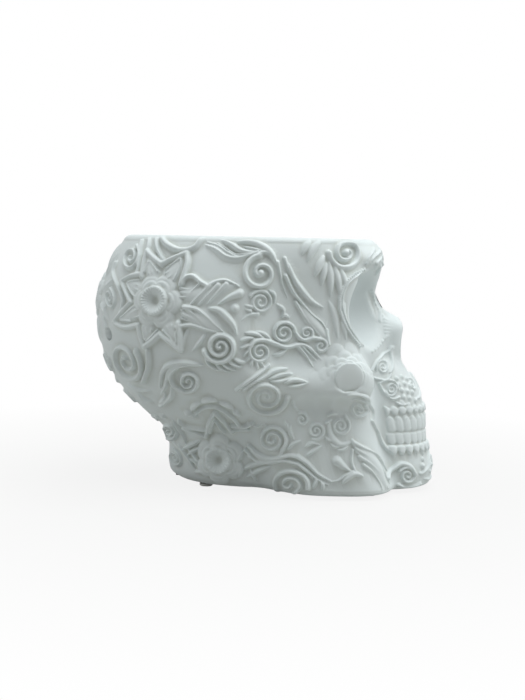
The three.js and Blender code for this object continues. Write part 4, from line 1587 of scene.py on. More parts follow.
# Scrolls at the back of the head below the big flower
NAPE_SCROLLS: Motifs = (
    Scroll((126, 361), 13.0, 1.9, 10.0, 3.2, 2.6, 1.75, 28.0),
    VINE(2.8, 2.4, (143, 382), (147, 370), (148, 358), (147, 350)),
    *BLADE.each(
        2.4, 2.0,
        ((126, 384), (138, 390), (150, 392)), ((137, 393), (143, 399), (152, 403)),
        ((177, 444), (187, 457), (195, 470)),
    ),
    Scroll((188, 382), 10.5, -1.9, 245.0, 2.3, 2.3),
    TAIL(3.0, 2.8, (183, 391), (174, 386), (170, 376), (177, 368), (188, 366), (202, 366)),
    BLADE(3.2, 2.1, (203, 366), (186, 363), (172, 364), (163, 371), (159, 390)),
    BLADE(2.4, 1.8, (190, 366), (176, 366), (168, 373), (165, 386), (160, 397)),
    BLADE(2.8, 2.1, (171, 387), (170, 398), (158, 409)),
    BLADE(1.9, 1.9, (164, 393), (164, 399), (158, 404)),
    Bead((156, 418), 1.8, 1.4),
    Bead((162, 417), 1.9, 1.5),
    Scroll((168, 432), 8.0, 1.9, 30.0, 2.0, 1.7, 1.2, 30.0),
    *BLADE.each(2.0, 1.9, ((171, 421), (181, 433), (185, 446)), ((186, 447), (193, 455), (201, 465))),
    Scroll((174, 458), 6.0, 1.9, 60.0, 1.9, 1.6, 1.6, 28.0),
)

# The flower low on the side, its petals running up to a double arch
LOW_FLOWER: Motifs = (
    *BLADE.each(2.9, 2.5, ((191, 412), (195, 406), (202, 403)), ((218, 403), (226, 405), (234, 410))),
    BLADE(3.3, 2.7, (201, 403), (209, 400), (217, 402)),
    *VINE.each(
        2.0, 2.2,
        ((196, 414), (203, 409), (211, 407), (220, 409), (231, 417), (240, 427)),
        ((248, 430), (240, 430), (231, 431)),
    ),
    Bead((188, 414), 2.4, 2.4),
    Bead((194, 417), 1.7, 2.0),
    DROP(3.3, 2.5, (235, 412), (241, 418)),
    *VINE.each(
        2.2, 2.4,
        ((206, 435), (209, 424), (215, 413)), ((215, 413), (223, 421), (232, 433)),
        ((179, 422), (188, 427), (204, 430)), ((183, 428), (195, 432), (206, 437)),
        ((252, 424), (244, 427), (232, 426)),
    ),
    VINE(1.5, 2.0, (210, 433), (212, 426), (215, 421), (219, 427), (224, 433)),
    BLADE(3.1, 2.4, (182, 449), (191, 445), (200, 441)),
    *BLADE.each(
        2.6, 2.2,
        ((187, 455), (195, 450), (203, 448)), ((194, 472), (202, 472), (209, 476)),
        ((209, 478), (219, 480), (228, 477)), ((239, 478), (241, 470), (240, 462)),
    ),
    BLADE(2.2, 2.1, (189, 458), (195, 462), (200, 468)),
    BLADE(2.4, 2.1, (244, 450), (239, 456), (237, 464)),
    BLADE(2.0, 2.0, (250, 470), (253, 476), (256, 482)),
    BLADE(1.8, 2.0, (247, 456), (252, 458), (256, 461)),
    Rosette(
        (219, 460), 6.2, 3.9,
        (Tier(6, 12.6, 0.22, 2.0, 90.0), Tier(6, 10.2, 0.18, 2.7, 90.0), Tier(8, 8.2, 0.12, 3.2, 67.0)),
        flutes=24,
    ),
)

# Scrolls and leaves over the jaw
JAW_SCROLLS: Motifs = (
    Scroll((266, 398), 21.5, 2.1, 0.0, 2.6, 1.9, 0.84),
    Scroll((272, 440), 14.5, -2.1, 315.0, 2.2, 1.8),
    TAIL(2.2, 1.7, (282, 450), (279, 457), (270, 460)),
    TAIL(1.8, 1.4, (248, 424), (256, 427), (262, 425), (268, 428)),
    PILLOW(5.0, 1.5, (247, 447), (257, 455), (270, 461), (284, 460)),
    VINE(2.2, 1.9, (249, 446), (259, 455), (272, 459), (288, 456), (298, 457)),
    TAIL(2.8, 2.0, (298, 457), (308, 464), (318, 474), (332, 482)),
    VINE(2.0, 1.8, (245, 450), (256, 461), (268, 463), (284, 461), (298, 464)),
    TAIL(2.4, 1.8, (298, 464), (308, 472), (318, 480), (328, 485)),
    Scroll((289, 485), 19.5, -1.9, 345.0, 2.8, 2.1, 0.8),
    *BLADE.each(3.0, 1.6, ((242, 470), (253, 465), (266, 464)), ((246, 478), (258, 471), (270, 467))),
    *BLADE.each(2.2, 1.4, ((312, 489), (316, 482), (316, 476)), ((322, 491), (323, 486), (320, 480))),
    TAIL(2.0, 1.6, (353, 472), (345, 476), (338, 481), (330, 482)),
    Scroll((302, 420), 6.5, 1.4, 110.0, 1.5, 1.3),
    TAIL(1.6, 1.3, (293, 403), (296, 409), (300, 412), (306, 413)),
    Scroll((316, 431), 9.0, -1.9, 250.0, 1.8, 1.3),
    Scroll((341, 426), 9.5, 1.9, 60.0, 1.8, 1.1),
    BLADE(3.4, 1.3, (329, 421), (331, 436), (341, 445), (354, 441)),
    *BLADE.each(
        1.7, 1.3,
        ((327, 417), (332, 415), (338, 416)), ((325, 424), (329, 421), (332, 420)),
        ((325, 437), (329, 440), (334, 441)), ((330, 444), (335, 447), (341, 447)),
        ((337, 450), (343, 450), (349, 446)),
    ),
    *BLADE.each(
        1.9, 1.4,
        ((287, 450), (293, 444), (301, 441)), ((304, 448), (312, 443), (320, 445)),
        ((306, 456), (314, 451), (322, 446)),
    ),
    *BLADE.each(1.5, 1.2, ((290, 425), (291, 433), (294, 440)), ((284, 421), (288, 428), (289, 436))),
    Scroll((360, 411), 9.0, 1.6, 50.0, 1.7, 1.4, 0.8),
    BLADE(2.6, 1.7, (344, 398), (358, 396), (369, 400), (374, 410), (375, 427)),
    BLADE(1.8, 1.4, (352, 405), (360, 402), (368, 404), (372, 412)),
    DROP(4.8, 2.2, (337, 461), (343, 466), (352, 472)),
    BLADE(3.4, 1.9, (342, 484), (348, 478), (355, 474), (364, 476)),
    VINE(1.4, 1.1, (353, 450), (352, 462), (356, 472)),
    PILLOW(10.0, 1.5, (355, 445), (369, 456), (381, 470), (388, 488)),
    TAIL(2.6, 2.1, (354, 443), (366, 449), (379, 456), (389, 471)),
    TAIL(2.4, 1.7, (356, 449), (368, 456), (381, 465), (391, 483)),
    TAIL(2.2, 1.6, (360, 457), (371, 464), (382, 475), (390, 489)),
    TAIL(2.0, 1.5, (364, 465), (373, 472), (381, 483), (384, 490)),
    TAIL(1.9, 1.4, (353, 441), (357, 452), (365, 458)),
)

# Mouth, upper jaw and chin
MOUTH: Motifs = (
    TeethRow(29.6, 37.4, 4.4, 8, 0.9, 0.5, 2.4, 0.5),
    TeethRow(23.4, 29.4, 4.4, 8, 0.8, 1.2, 0.4, 0.5),
    TeethRow(37.8, 42.2, 4.4, 8, 1.2, 1.8, 1.2, 0.4, 0.5),
    TeethRow(18.8, 23.6, 4.4, 8, 1.7, 2.0, 0.3, 0.4),
    VINE(2.0, 1.4, (373, 421), (378, 430), (381, 438), (385, 446), (392, 452)),
    Scroll((383.5, 367), 6.5, 1.9, 200.0, 1.3, 1.3, 1.2),
    *VINE.each(
        1.3, 1.2,
        ((373, 371), (378, 361), (386, 353), (393, 347)), ((393, 348), (393, 360), (391, 372)),
        ((373, 372), (379, 379), (387, 380), (392, 374)), ((380, 383), (388, 380), (396, 382), (399, 389)),
        ((380, 384), (385, 393), (393, 399), (400, 397)),
    ),
    Scroll((392, 389), 6.0, -1.9, 200.0, 1.3, 1.3, 1.2),
    *beads(
        1.4, 1.0,
        (398, 378), (403, 376), (408, 378), (400, 384), (406, 383), (411, 385), (403, 390), (409, 391),
        (414, 392), (405, 397), (411, 398), (417, 400), (403, 403), (410, 405), (416, 407),
    ),
    BLADE(1.6, 1.2, (396, 402), (402, 405), (408, 404)),
    Scroll((408, 476), 9.0, 1.8, 150.0, 2.0, 1.6),
    VINE(2.8, 1.8, (389, 478), (393, 469), (402, 464), (411, 467), (416, 475)),
    VINE(2.2, 1.5, (399, 485), (405, 488), (414, 487), (421, 484)),
    Bead((424, 453), 1.1, 1.0),
    Bead((424, 459), 1.3, 1.2),
    Bead((424, 466), 1.7, 1.5),
    VINE(1.8, 1.2, (429, 450), (430, 459), (429, 468), (422, 474)),
)

# Symmetrical motifs on the middle of the back, which the photograph shows only edge on
BACK_MIDDLE: Motifs = (
    Rosette(
        (180, 92), 6.4, 2.2,
        (Tier(8, 12.6, 0.18, 1.5, 22.5), Tier(8, 9.6, 0.16, 2.0)),
        flutes=32, sheet=Sheet.ROUND,
    ),
    *ROUND_LEAF.each(
        6.0, 1.5,
        ((172, 101), (169, 106), (166, 113)), ((170, 94), (164, 97), (159, 101)),
        ((170, 88), (164, 85), (160, 80)),
    ),
    *ROUND_LEAF.each(
        5.5, 1.5,
        ((174, 82), (171, 77), (169, 71)), ((180, 104), (179.9, 110), (180, 117)),
        ((180, 80), (179.9, 74), (180, 67)),
    ),
    Scroll((170, 60), 5.6, 1.9, 20.0, 1.7, 1.5, sheet=Sheet.ROUND),
    Scroll((173, 42), 5.2, -1.9, 340.0, 1.6, 1.4, sheet=Sheet.ROUND),
    ROUND_LEAF(3.4, 1.4, (180, 52), (176, 49), (172, 51)),
    ROUND_DROP(4.0, 1.6, (180, 56), (179.9, 61), (180, 65)),
    ROUND_DROP(3.6, 1.4, (180, 30), (179.9, 35), (180, 39)),
    ROUND_LEAF(3.2, 1.3, (176, 30), (171, 33), (166, 32)),
    ROUND_LEAF(2.8, 1.2, (176, 20), (170, 22), (164, 19)),
)

# Symmetrical motifs on the middle of the face, which the photograph doesn't show
FACE_MIDDLE: Motifs = (
    Hollow((0, 95), 14.0, 4.4, Sheet.ROUND),
    Rosette((0, 113), 3.2, 1.6, (Tier(8, 7.2, 0.2, 1.2),), sheet=Sheet.ROUND),
    ROUND_LEAF(3.4, 1.2, (9, 114), (14, 116), (19, 115)),
    ROUND_LEAF(3.2, 1.2, (8, 110), (13, 109), (18, 111)),
    ROUND_DROP(2.4, 1.1, (0, 104), (0.1, 101), (0, 97)),
    ROUND_VINE(1.3, 0.9, (5, 101), (4.5, 95), (6, 88), (9, 82)),
    Scroll((10, 52), 3.4, 1.7, 100.0, 1.2, 1.0, sheet=Sheet.ROUND),
    ROUND_DROP(2.6, 1.2, (0, 56), (0.1, 51), (0, 46)),
    ROUND_LEAF(2.4, 1.0, (3, 50), (7, 46), (12, 45)),
    ROUND_DROP(3.2, 1.2, (0, 15), (0.1, 11), (0, 7)),
    Bead((6, 12), 1.3, 1.1, Sheet.ROUND),
    Bead((9, 9), 1.1, 1.0, Sheet.ROUND),
    ROUND_LEAF(2.6, 1.1, (4, 6), (9, 5), (14, 6)),
)

ORNAMENT: tuple[Motifs, ...] = (
    BACK_FLOWER, FLOWER_LEAVES, CROWN_SCROLLS, TEMPLE_RIBBONS, FOREHEAD_PALM, EYE_RIM, CHEEK_VINES,
    CHEEK_FLOWER, NAPE_SCROLLS, LOW_FLOWER, JAW_SCROLLS, MOUTH, BACK_MIDDLE, FACE_MIDDLE,
)


def grid_faces(rows: int, columns: int, close_rows: bool, close_columns: bool) -> Array:
    """Four-sided faces over a grid whose rows and columns may close on themselves.

    Args:
        rows: number of rows.
        columns: number of columns.
        close_rows: the last row joins the first.
        close_columns: the last column joins the first.

    Returns:
        Vertex numbers, one face per row, turning from the columns' way to the rows' way.
    """
    i = np.arange(rows if close_rows else rows - 1)[:, None]
    j = np.arange(columns if close_columns else columns - 1)[None, :]
    below = i * columns
    above = (i + 1) % rows * columns
    ahead = (j + 1) % columns
    corners = np.broadcast_arrays(below + j, below + ahead, above + ahead, above + j)
    return np.stack(corners, -1).reshape(-1, 4)


def new_mesh(name: str, points: Array, faces: Array, caps: Sequence[Array] = ()) -> Mesh:
    """A smooth mesh from points in millimetres.

    Args:
        name: the mesh's name.
        points: places, one row each.
        faces: vertex numbers, all faces with the same number of corners.
        caps: vertex numbers round further faces.

    Returns:
        The mesh, in metres.
    """
    corners = np.concatenate([faces.ravel(), *caps]).astype(np.int32)
    counts = np.array([faces.shape[1]] * len(faces) + [len(cap) for cap in caps])
    mesh = bpy.data.meshes.new(name)
    mesh.vertices.add(len(points))
    mesh.vertices.foreach_set("co", (points * MM).astype(np.float32).ravel())
    mesh.loops.add(len(corners))
    mesh.loops.foreach_set("vertex_index", corners)
    mesh.polygons.add(len(counts))
    mesh.polygons.foreach_set("loop_start", (np.cumsum(counts) - counts).astype(np.int32))
    mesh.update(calc_edges=True)
    mesh.shade_smooth()
    return mesh


def new_piece(name: str, mesh: Mesh) -> Piece:
    """An object at the origin that holds a mesh.

    Args:
        name: the piece's name.
        mesh: its mesh.

    Returns:
        The piece.
    """
    piece = bpy.data.objects.new(name, mesh)
    bpy.context.collection.objects.link(piece)
    return piece


def finished_mesh(piece: Piece) -> Mesh:
    """A piece's mesh with its modifiers applied; the piece itself is taken away.

    Args:
        piece: an object with modifiers.

    Returns:
        The finished mesh.
    """
    bpy.context.view_layer.update()
    seen = piece.evaluated_get(bpy.context.evaluated_depsgraph_get())
    mesh = bpy.data.meshes.new_from_object(seen)
    bare = piece.data
    bpy.data.objects.remove(piece)
    bpy.data.meshes.remove(bare)
    return mesh


def along_x(piece: Piece, y: float, z: float) -> Piece:
    """Lays a turned piece along X: what was up is forwards, and its axis lies at y and z.

    Args:
        piece: the turned piece.
        y: its axis across, in mm.
        z: its axis upwards, in mm.

    Returns:
        The same piece.
    """
    laid = Matrix(((0, 0, 1, 0), (0, 1, 0, y * MM), (-1, 0, 0, z * MM), (0, 0, 0, 1)))
    piece.data.transform(laid)
    return piece


def eased(profile: Sequence[Spot], radius: float, steps: int = 4) -> list[Spot]:
    """A closed outline with its corners rounded.

    Each corner becomes a short curve that starts and ends the radius away, or less on a short side.

    Args:
        profile: corners as (radius, height).
        radius: how far the rounding reaches along each side.
        steps: points on each rounded corner.

    Returns:
        The new outline; corners on the axis stay.
    """
    made: list[Spot] = []
    count = len(profile)
    short_side = 0.45
    for number, corner in enumerate(profile):
        if corner[0] < TINY:
            made.append(corner)
            continue
        here = np.array(corner)
        ends = []
        for other in (profile[number - 1], profile[(number + 1) % count]):
            side = np.array(other) - here
            length = np.linalg.norm(side) + TINY
            ends.append(here + side / length * min(radius, short_side * length))
        part = np.linspace(0.0, 1.0, steps)[:, None]
        curve = (1 - part) ** 2 * ends[0] + 2 * part * (1 - part) * here + part**2 * ends[1]
        made.extend((float(r), float(z)) for r, z in curve)
    return made


@dataclass(frozen=True)
class Thread:
    """A rounded screw thread between two heights of a turned piece."""

    low: float
    high: float
    pitch: float
    depth: float
    steps: int = 8

    def split(self, corners: list[Spot], open_ended: bool) -> list[Spot]:
        """An outline in steps short enough to carry the thread.

        Args:
            corners: the outline.
            open_ended: it doesn't close on itself.

        Returns:
            The finer outline.
        """
        fine: list[Spot] = []
        following = corners[1:] if open_ended else corners[1:] + corners[:1]
        for (r, z), (next_r, next_z) in zip(corners, following):
            count = max(int(abs(next_z - z) / self.pitch * self.steps), 1)
            part = np.arange(count) / count
            fine.extend(zip((r + (next_r - r) * part).tolist(), (z + (next_z - z) * part).tolist()))
        return fine + corners[-1:] if open_ended else fine

    def cut(self, radius: Array, z: Array, angle: Array) -> Array:
        """Radii with the thread cut into them, by its depth times half of one plus the cosine of the climb.

        Args:
            radius: plain radii.
            z: their heights.
            angle: their turns, in radians.

        Returns:
            The threaded radii.
        """
        climb = np.cos(2 * np.pi * z / self.pitch - angle)
        fade = unit(np.minimum(z - self.low, self.high - z) / self.pitch)
        return radius - self.depth * 0.5 * (1.0 + climb) * fade * (radius > TINY)


def turned(
    name: str, outline: Sequence[Spot], x: float, segments: int = 72, thread: Thread | None = None
) -> Piece:
    """A piece turned about an upright axis: the outline carried round a circle.

    Args:
        name: the piece's name.
        outline: corners as (radius, height), closed on itself or open with both ends on the axis.
        x: where the axis stands.
        segments: columns round the axis.
        thread: a screw thread, if it has one.

    Returns:
        The piece.
    """
    corners = list(outline)
    on_axis = corners[0][0] < TINY and corners[-1][0] < TINY
    if thread:
        corners = thread.split(corners, on_axis)
    profile = np.array(corners, float)
    angle = full_turn(segments)[None, :]
    radius = np.repeat(profile[:, :1], segments, 1)
    z = np.repeat(profile[:, 1:], segments, 1)
    if thread:
        radius = thread.cut(radius, z, angle)
    points = np.stack([x + radius * np.cos(angle), radius * np.sin(angle), z], -1)
    faces = grid_faces(len(profile), segments, not on_axis, True)
    return tidy_piece(name, new_mesh(name, points.reshape(-1, 3), faces))


def tidy_piece(name: str, mesh: Mesh, sharp: float = 40.0) -> Piece:
    """A closed piece with its doubles merged, its faces outwards and its sharp edges marked.

    Args:
        name: the piece's name.
        mesh: its mesh.
        sharp: edges sharper than this, in degrees, aren't smoothed.

    Returns:
        The piece.
    """
    close = 0.001 * MM
    made = bmesh.new()
    made.from_mesh(mesh)
    bmesh.ops.remove_doubles(made, verts=made.verts, dist=close)
    bmesh.ops.dissolve_degenerate(made, edges=made.edges, dist=close)
    bmesh.ops.recalc_face_normals(made, faces=made.faces)
    made.to_mesh(mesh)
    made.free()
    mesh.shade_smooth()
    mesh.set_sharp_from_angle(angle=math.radians(sharp))
    return new_piece(name, mesh)


@dataclass(frozen=True)
class Shell:
    """The porcelain skull in two closed halves: up the outside, over the rim and down the inside."""

    head: Head
    view: Viewpoint
    columns: int = 820
    rows: int = 500
    triangles: int = 186000
    wall: float = 4.5
    floor_top: float = 16.2
    recess_top: float = 11.7
    foot_ring: float = 12.0
    cavity_top: float = 106.0
    cavity_rings: int = 34
    ledge_top: float = 115.0
    rim_width: float = 6.5
    throat_inset: float = 11.0
    lamp_x: float = -6.0
    nipple_hole: float = 5.4
    vent_radius: float = 3.15
    vent_place: tuple[float, float] = (24.0, 74.0)
    inlet_hole: float = 4.4
    inlet_seat: float = 5.3
    inlet_height: float = 6.6
    recess_back: float = -32.1
    behind: float = -95.0
    vent_end: float = -30.0
    seat_length: float = 10.0
    relief_fade: float = 2.2
    sink: float = 1.0
    softening: int = 1
    # Depth below the smoothed relief at which the painted shade is full.
    full_shade_depth: float = 0.9
    foot_round: float = 2.0
    heel_round: float = 7.0
    heel_bearings: tuple[float, float] = (100.0, 160.0)
    sharp: float = 75.0
    drill_segments: int = 48

    def build(self) -> dict[str, Piece]:
        """Carves the right half, closes it on the middle plane, thins it, mirrors it and bores the holes.

        Returns:
            Both halves by side.
        """
        coarse = 1
        wall = Wall(self.head, self.columns // coarse, self.rows // coarse)
        raised = self.carved(wall)
        half = self.thinned(*self.half_skin(wall, raised))
        twin = half.copy()
        twin.transform(Matrix.Scale(-1.0, 4, (0.0, 1.0, 0.0)))
        twin.flip_normals()
        made = {}
        for side, mesh, place in (("right", half, -1.0), ("left", twin, 1.0)):
            made[side] = self.bored(new_piece(f"skull_{side}_bisque", mesh), place)
            count = sum(len(face.vertices) - 2 for face in made[side].data.polygons)
            LOG.info("%s half: %d triangles", side, count)
        return made

    def carved(self, wall: Wall) -> Array:
        """Heights over the wall's grid, the ground a little below it, faded out at the foot and the rim.

        Args:
            wall: the bare wall.

        Returns:
            Heights, one per grid point.
        """
        relief = Relief(wall, self.view)
        motifs = [motif for group in ORNAMENT for motif in group]
        relief.learn({spot for motif in motifs if motif.sheet is Sheet.SEEN for spot in motif.spots})
        for motif in motifs:
            motif.carve(relief)
        raised = (relief.raised - relief.sunk - self.sink).reshape(wall.radius.shape)
        raised = self.blurred(raised, self.softening)
        above = (wall.height - self.head.FOOT) / self.relief_fade
        below = (self.head.HEIGHT - wall.height) / self.relief_fade
        return raised * unit(np.minimum(above, below))[:, None]

    def half_skin(self, wall: Wall, raised: Array) -> tuple[Array, Array]:
        """Rows of points from the foot up the carved outside, over the rim and down to the foot again.

        Args:
            wall: the bare wall.
            raised: heights of the ornament.

        Returns:
            The grid of points, and how deep each lies among the ornament round it, which sets its painted
            shade.
        """
        outside = wall.points + wall.normals * raised[..., None]
        outside -= self.foot_inset(wall)
        outside[..., 1] = np.minimum(outside[..., 1], 0.0)
        outside[:, (0, -1), 1] = 0.0
        # Painted shade: how far each point lies below the smoothed relief, up to the full depth.
        depth = unit((self.blurred(raised) - raised) / self.full_shade_depth)
        rings = self.inner_rings(wall.bearing)
        points = np.concatenate([outside, np.stack(rings)])
        # The inside rings get no painted shade.
        hollow = np.concatenate([depth, np.zeros((len(rings), depth.shape[1]))])
        return points, hollow

    def foot_inset(self, wall: Wall) -> Array:
        """How far the outside is drawn in at the foot: a quarter round, larger at the heel.

        Args:
            wall: the bare wall.

        Returns:
            Level shifts, one per grid point.
        """
        first, last = np.radians(self.heel_bearings)
        back = unit((wall.bearing - first) / (last - first))
        radius = self.foot_round + (self.heel_round - self.foot_round) * back * back * (3.0 - 2.0 * back)
        left = unit(1.0 - (wall.height[:, None] - self.head.FOOT) / radius)
        inset = radius * (1.0 - np.sqrt(1.0 - left * left))
        level = np.stack([np.cos(wall.bearing), -np.sin(wall.bearing), np.zeros_like(back)], -1)
        return inset[..., None] * level

    @staticmethod
    def blurred(heights: Array, reach: int = 8) -> Array:
        """Running mean of a grid both ways.

        Args:
            heights: the grid.
            reach: cells the mean takes in to each side.

        Returns:
            The blurred grid.
        """
        for axis in (0, 1):
            pad = [(0, 0), (0, 0)]
            pad[axis] = (reach + 1, reach)
            total = np.cumsum(np.pad(heights, pad, mode="edge"), axis)
            count = heights.shape[axis]
            ahead = np.take(total, range(2 * reach + 1, 2 * reach + 1 + count), axis)
            heights = (ahead - np.take(total, range(count), axis)) / (2 * reach + 1)
        return heights

    def inner_rings(self, bearing: Array) -> list[Array]:
        """Rings of the inside: rim, mouth, ledge, throat, chamber, floor, hole and foot recess.

        Args:
            bearing: the columns' bearings.

        Returns:
            Rings of points, in order.
        """
        head = self.head
        top = head.HEIGHT
        mouth = (
            (self.rim_width - 1.9, top),
            (self.rim_width - 0.9, top - 0.2),
            (self.rim_width - 0.25, top - 0.8),
            (self.rim_width, top - 1.7),
            (self.rim_width, top - 4.0),
            (self.rim_width, self.ledge_top),
            (self.throat_inset - 0.4, self.ledge_top),
            (self.throat_inset, self.ledge_top - 0.4),
            (self.throat_inset, self.cavity_top),
        )
        rings = [head.outline(bearing, top, inset, z) for inset, z in mouth]
        levels = np.linspace(self.cavity_top, self.floor_top, self.cavity_rings)
        rings += [head.outline(bearing, z, self.wall) for z in levels]
        for z in (self.floor_top, self.recess_top):
            x = self.lamp_x + self.nipple_hole * np.cos(bearing)
            rings.append(np.stack([x, -self.nipple_hole * np.sin(bearing), np.full_like(x, z)], 1))
        for z in (self.recess_top, 0.5 * self.recess_top, head.FOOT):
            rings.append(head.outline(bearing, self.recess_top, self.foot_ring, z))
        for ring in rings:
            ring[(0, -1), 1] = 0.0
        return rings

    def thinned(self, points: Array, hollow: Array) -> Mesh:
        """The half skin, capped where it meets the middle plane, with its flatter parts in fewer triangles.

        The caps are the first and the last column's own outlines, and the points on them stay as they are.

        Args:
            points: the grid of places.
            hollow: how deep each point lies among the ornament, kept as an attribute for the painted shade.

        Returns:
            The closed half.
        """
        rows, columns = hollow.shape
        faces = grid_faces(rows, columns, True, False)[:, ::-1]
        first = columns * np.arange(rows)
        caps = (first[::-1], first + columns - 1)
        mesh = new_mesh("half", points.reshape(-1, 3), faces, caps)
        # The attribute that the bisque reads for its painted shade.
        depth = mesh.attributes.new(SHADE_DEPTH_NAME, "FLOAT", "POINT")
        depth.data.foreach_set("value", hollow.astype(np.float32).ravel())
        piece = new_piece("half", mesh)
        inner = np.setdiff1d(np.arange(hollow.size), np.concatenate(caps))
        piece.vertex_groups.new(name="inner").add(inner.tolist(), 1.0, "REPLACE")
        fewer = piece.modifiers.new("fewer", "DECIMATE")
        fewer.ratio = self.triangles / (2 * len(faces))
        fewer.vertex_group = "inner"
        fewer.use_collapse_triangulate = True
        return finished_mesh(piece)

    def bored(self, piece: Piece, place: float) -> Piece:
        """Bores one half's vent and the cord inlet, whose hole is wider where the grommet's flange sits.

        Args:
            piece: the closed half.
            place: 1 for the left half and -1 for the right.

        Returns:
            The finished half.
        """
        far, end, seat = self.behind, self.vent_end, self.recess_back
        vent = ((0, far), (self.vent_radius, far), (self.vent_radius, end), (0, end))
        inlet = (
            (0, far), (self.inlet_hole, far), (self.inlet_hole, seat), (self.inlet_seat, seat),
            (self.inlet_seat, seat + self.seat_length), (0, seat + self.seat_length),
        )
        side, level = self.vent_place
        drills = (
            along_x(turned("vent", vent, 0.0, self.drill_segments), place * side, level),
            along_x(turned("inlet", inlet, 0.0, self.drill_segments), 0.0, self.inlet_height),
        )
        for drill in drills:
            bore = piece.modifiers.new(drill.name, "BOOLEAN")
            bore.operation = "DIFFERENCE"
            bore.solver = "MANIFOLD"
            bore.object = drill
        name = piece.name
        plain = len(piece.data.vertices)
        mesh = finished_mesh(piece)
        if len(mesh.vertices) == plain:
            raise RuntimeError(f"{name}: its holes weren't bored")
        for drill in drills:
            bpy.data.objects.remove(drill)
        mesh.shade_smooth()
        mesh.set_sharp_from_angle(angle=math.radians(self.sharp))
        mesh.name = name
        return new_piece(name, mesh)


@dataclass(frozen=True)
class WaxDish:
    """The lift-out dish: a shallow bowl with a flat flange, following the mouth's outline."""

    head: Head
    columns: int = 220
    flange_inset: float = 7.0
    bowl_inset: float = 12.0
    wall: float = 3.0
    corner: float = 9.0
    underside: float = 99.0
    well_floor: float = 102.0
    ledge: float = 115.0
    lip: float = 118.0
    easing: float = 0.8
    corner_steps: int = 9
    shares: Triple = (0.0, 0.35, 0.7)
    sharp: float = 60.0

    def section(self) -> list[Spot]:
        """The section as (inset, height), from under the bowl over the lip to its floor.

        Returns:
            The section's points in order.
        """
        inner = self.bowl_inset + self.wall
        turn = np.linspace(0.0, 0.5 * np.pi, self.corner_steps)
        sweep = self.corner * (1.0 - np.sin(turn))
        climb = self.corner * (1.0 - np.cos(turn))
        outside = [(self.bowl_inset + s, self.underside + c) for s, c in zip(sweep, climb)]
        inside = [(inner + s, self.well_floor + c) for s, c in zip(sweep, climb)]
        flange = [
            (self.bowl_inset, self.ledge),
            (self.flange_inset, self.ledge),
            (self.flange_inset, self.lip),
            (inner, self.lip),
        ]
        return eased(outside + flange + inside[::-1], self.easing)

    def build(self) -> Piece:
        """Carries the section round the mouth and closes both bottoms on their middles.

        Returns:
            The dish.
        """
        bearing = full_turn(self.columns)
        top = self.head.HEIGHT
        rings = [self.head.outline(bearing, top, round(inset, 3), z) for inset, z in self.section()]
        closed = [self.shrunk(rings[0], share) for share in self.shares]
        closed += rings + [self.shrunk(rings[-1], share) for share in self.shares[::-1]]
        faces = grid_faces(len(closed), self.columns, False, True)
        mesh = new_mesh("wax_dish_glazed", np.concatenate(closed), faces)
        return tidy_piece("wax_dish_glazed", mesh, self.sharp)

    @staticmethod
    def shrunk(ring: Array, share: float) -> Array:
        """A ring drawn in to a share of its size about its middle."""
        middle = ring.mean(0)
        return middle + (ring - middle) * share


@dataclass(frozen=True)
class LampHolder:
    """The lampholder in two moulded pieces, with its threaded brass sleeve and terminal screws."""

    x: float = -6.0
    radius: float = 14.0
    wall: float = 2.2
    base: float = 17.4
    seam: float = 25.4
    top: float = 46.4
    cap_floor: float = 20.4
    groove_low: float = 31.4
    groove_high: float = 33.2
    groove_slope: float = 0.4
    lip: float = 1.2
    step: float = 0.5
    easing: float = 0.5
    segments: int = 96
    hole: float = 5.2
    web_low: float = 29.9
    web_top: float = 32.3
    socket: float = 8.35
    sleeve: float = 8.05
    sleeve_wall: float = 0.8
    sleeve_height: float = 14.0
    thread_pitch: float = 2.8
    thread_depth: float = 0.35
    thread_lead: float = 1.5
    screw_x: float = 7.7
    screw_head: float = 2.3
    screw_head_height: float = 1.8
    screw_shank: float = 1.2
    screw_short: float = 0.2
    screw_segments: int = 40

    def build(self) -> dict[str, Piece]:
        """Turns each piece.

        Returns:
            Pieces by the node each stands for.
        """
        outer = self.radius
        inner = outer - self.wall
        sunk = outer - self.step
        lip = self.seam - self.lip
        cap = [
            (self.hole, self.base), (outer - 1.0, self.base), (outer, self.base + 1.0),
            (outer, lip - self.step), (sunk, lip), (sunk, self.seam), (inner, self.seam),
            (inner, self.cap_floor), (self.hole, self.cap_floor),
        ]
        body = [
            (0.0, self.web_low), (inner, self.web_low), (inner, self.seam), (outer, self.seam),
            (outer, self.groove_low), (sunk, self.groove_low + self.groove_slope),
            (sunk, self.groove_high - self.groove_slope), (outer, self.groove_high),
            (outer, self.top - self.wall), (inner, self.top),
            (self.socket, self.top), (self.socket, self.web_top), (0.0, self.web_top),
        ]
        sleeve_top = self.web_top + self.sleeve_height
        bore = self.sleeve - self.sleeve_wall
        sleeve = [
            (bore, self.web_top), (self.sleeve, self.web_top), (self.sleeve, sleeve_top), (bore, sleeve_top),
        ]
        lead = self.web_top + self.thread_lead
        thread = Thread(lead, sleeve_top - self.step, self.thread_pitch, self.thread_depth)
        made = {
            "holder_cap": turned("holder_cap_moulded", eased(cap, self.easing), self.x, self.segments),
            "holder_body": turned("holder_body_moulded", eased(body, self.easing), self.x, self.segments),
            "screw_sleeve": turned("screw_sleeve_brass", sleeve, self.x, self.segments, thread),
        }
        low = self.web_low - self.screw_head_height
        end = self.web_top - self.screw_short
        screw = [
            (0.0, low), (self.screw_head - 0.5, low), (self.screw_head, low + 0.6),
            (self.screw_head, self.web_low), (self.screw_shank, self.web_low), (self.screw_shank, end),
            (0.0, end),
        ]
        for pole, side in (("live", -1), ("neutral", 1)):
            x = self.x + side * self.screw_x
            piece = turned(f"terminal_{pole}_brass", eased(screw, 0.2), x, self.screw_segments)
            made[f"terminal_screw_{pole}"] = piece
        return made


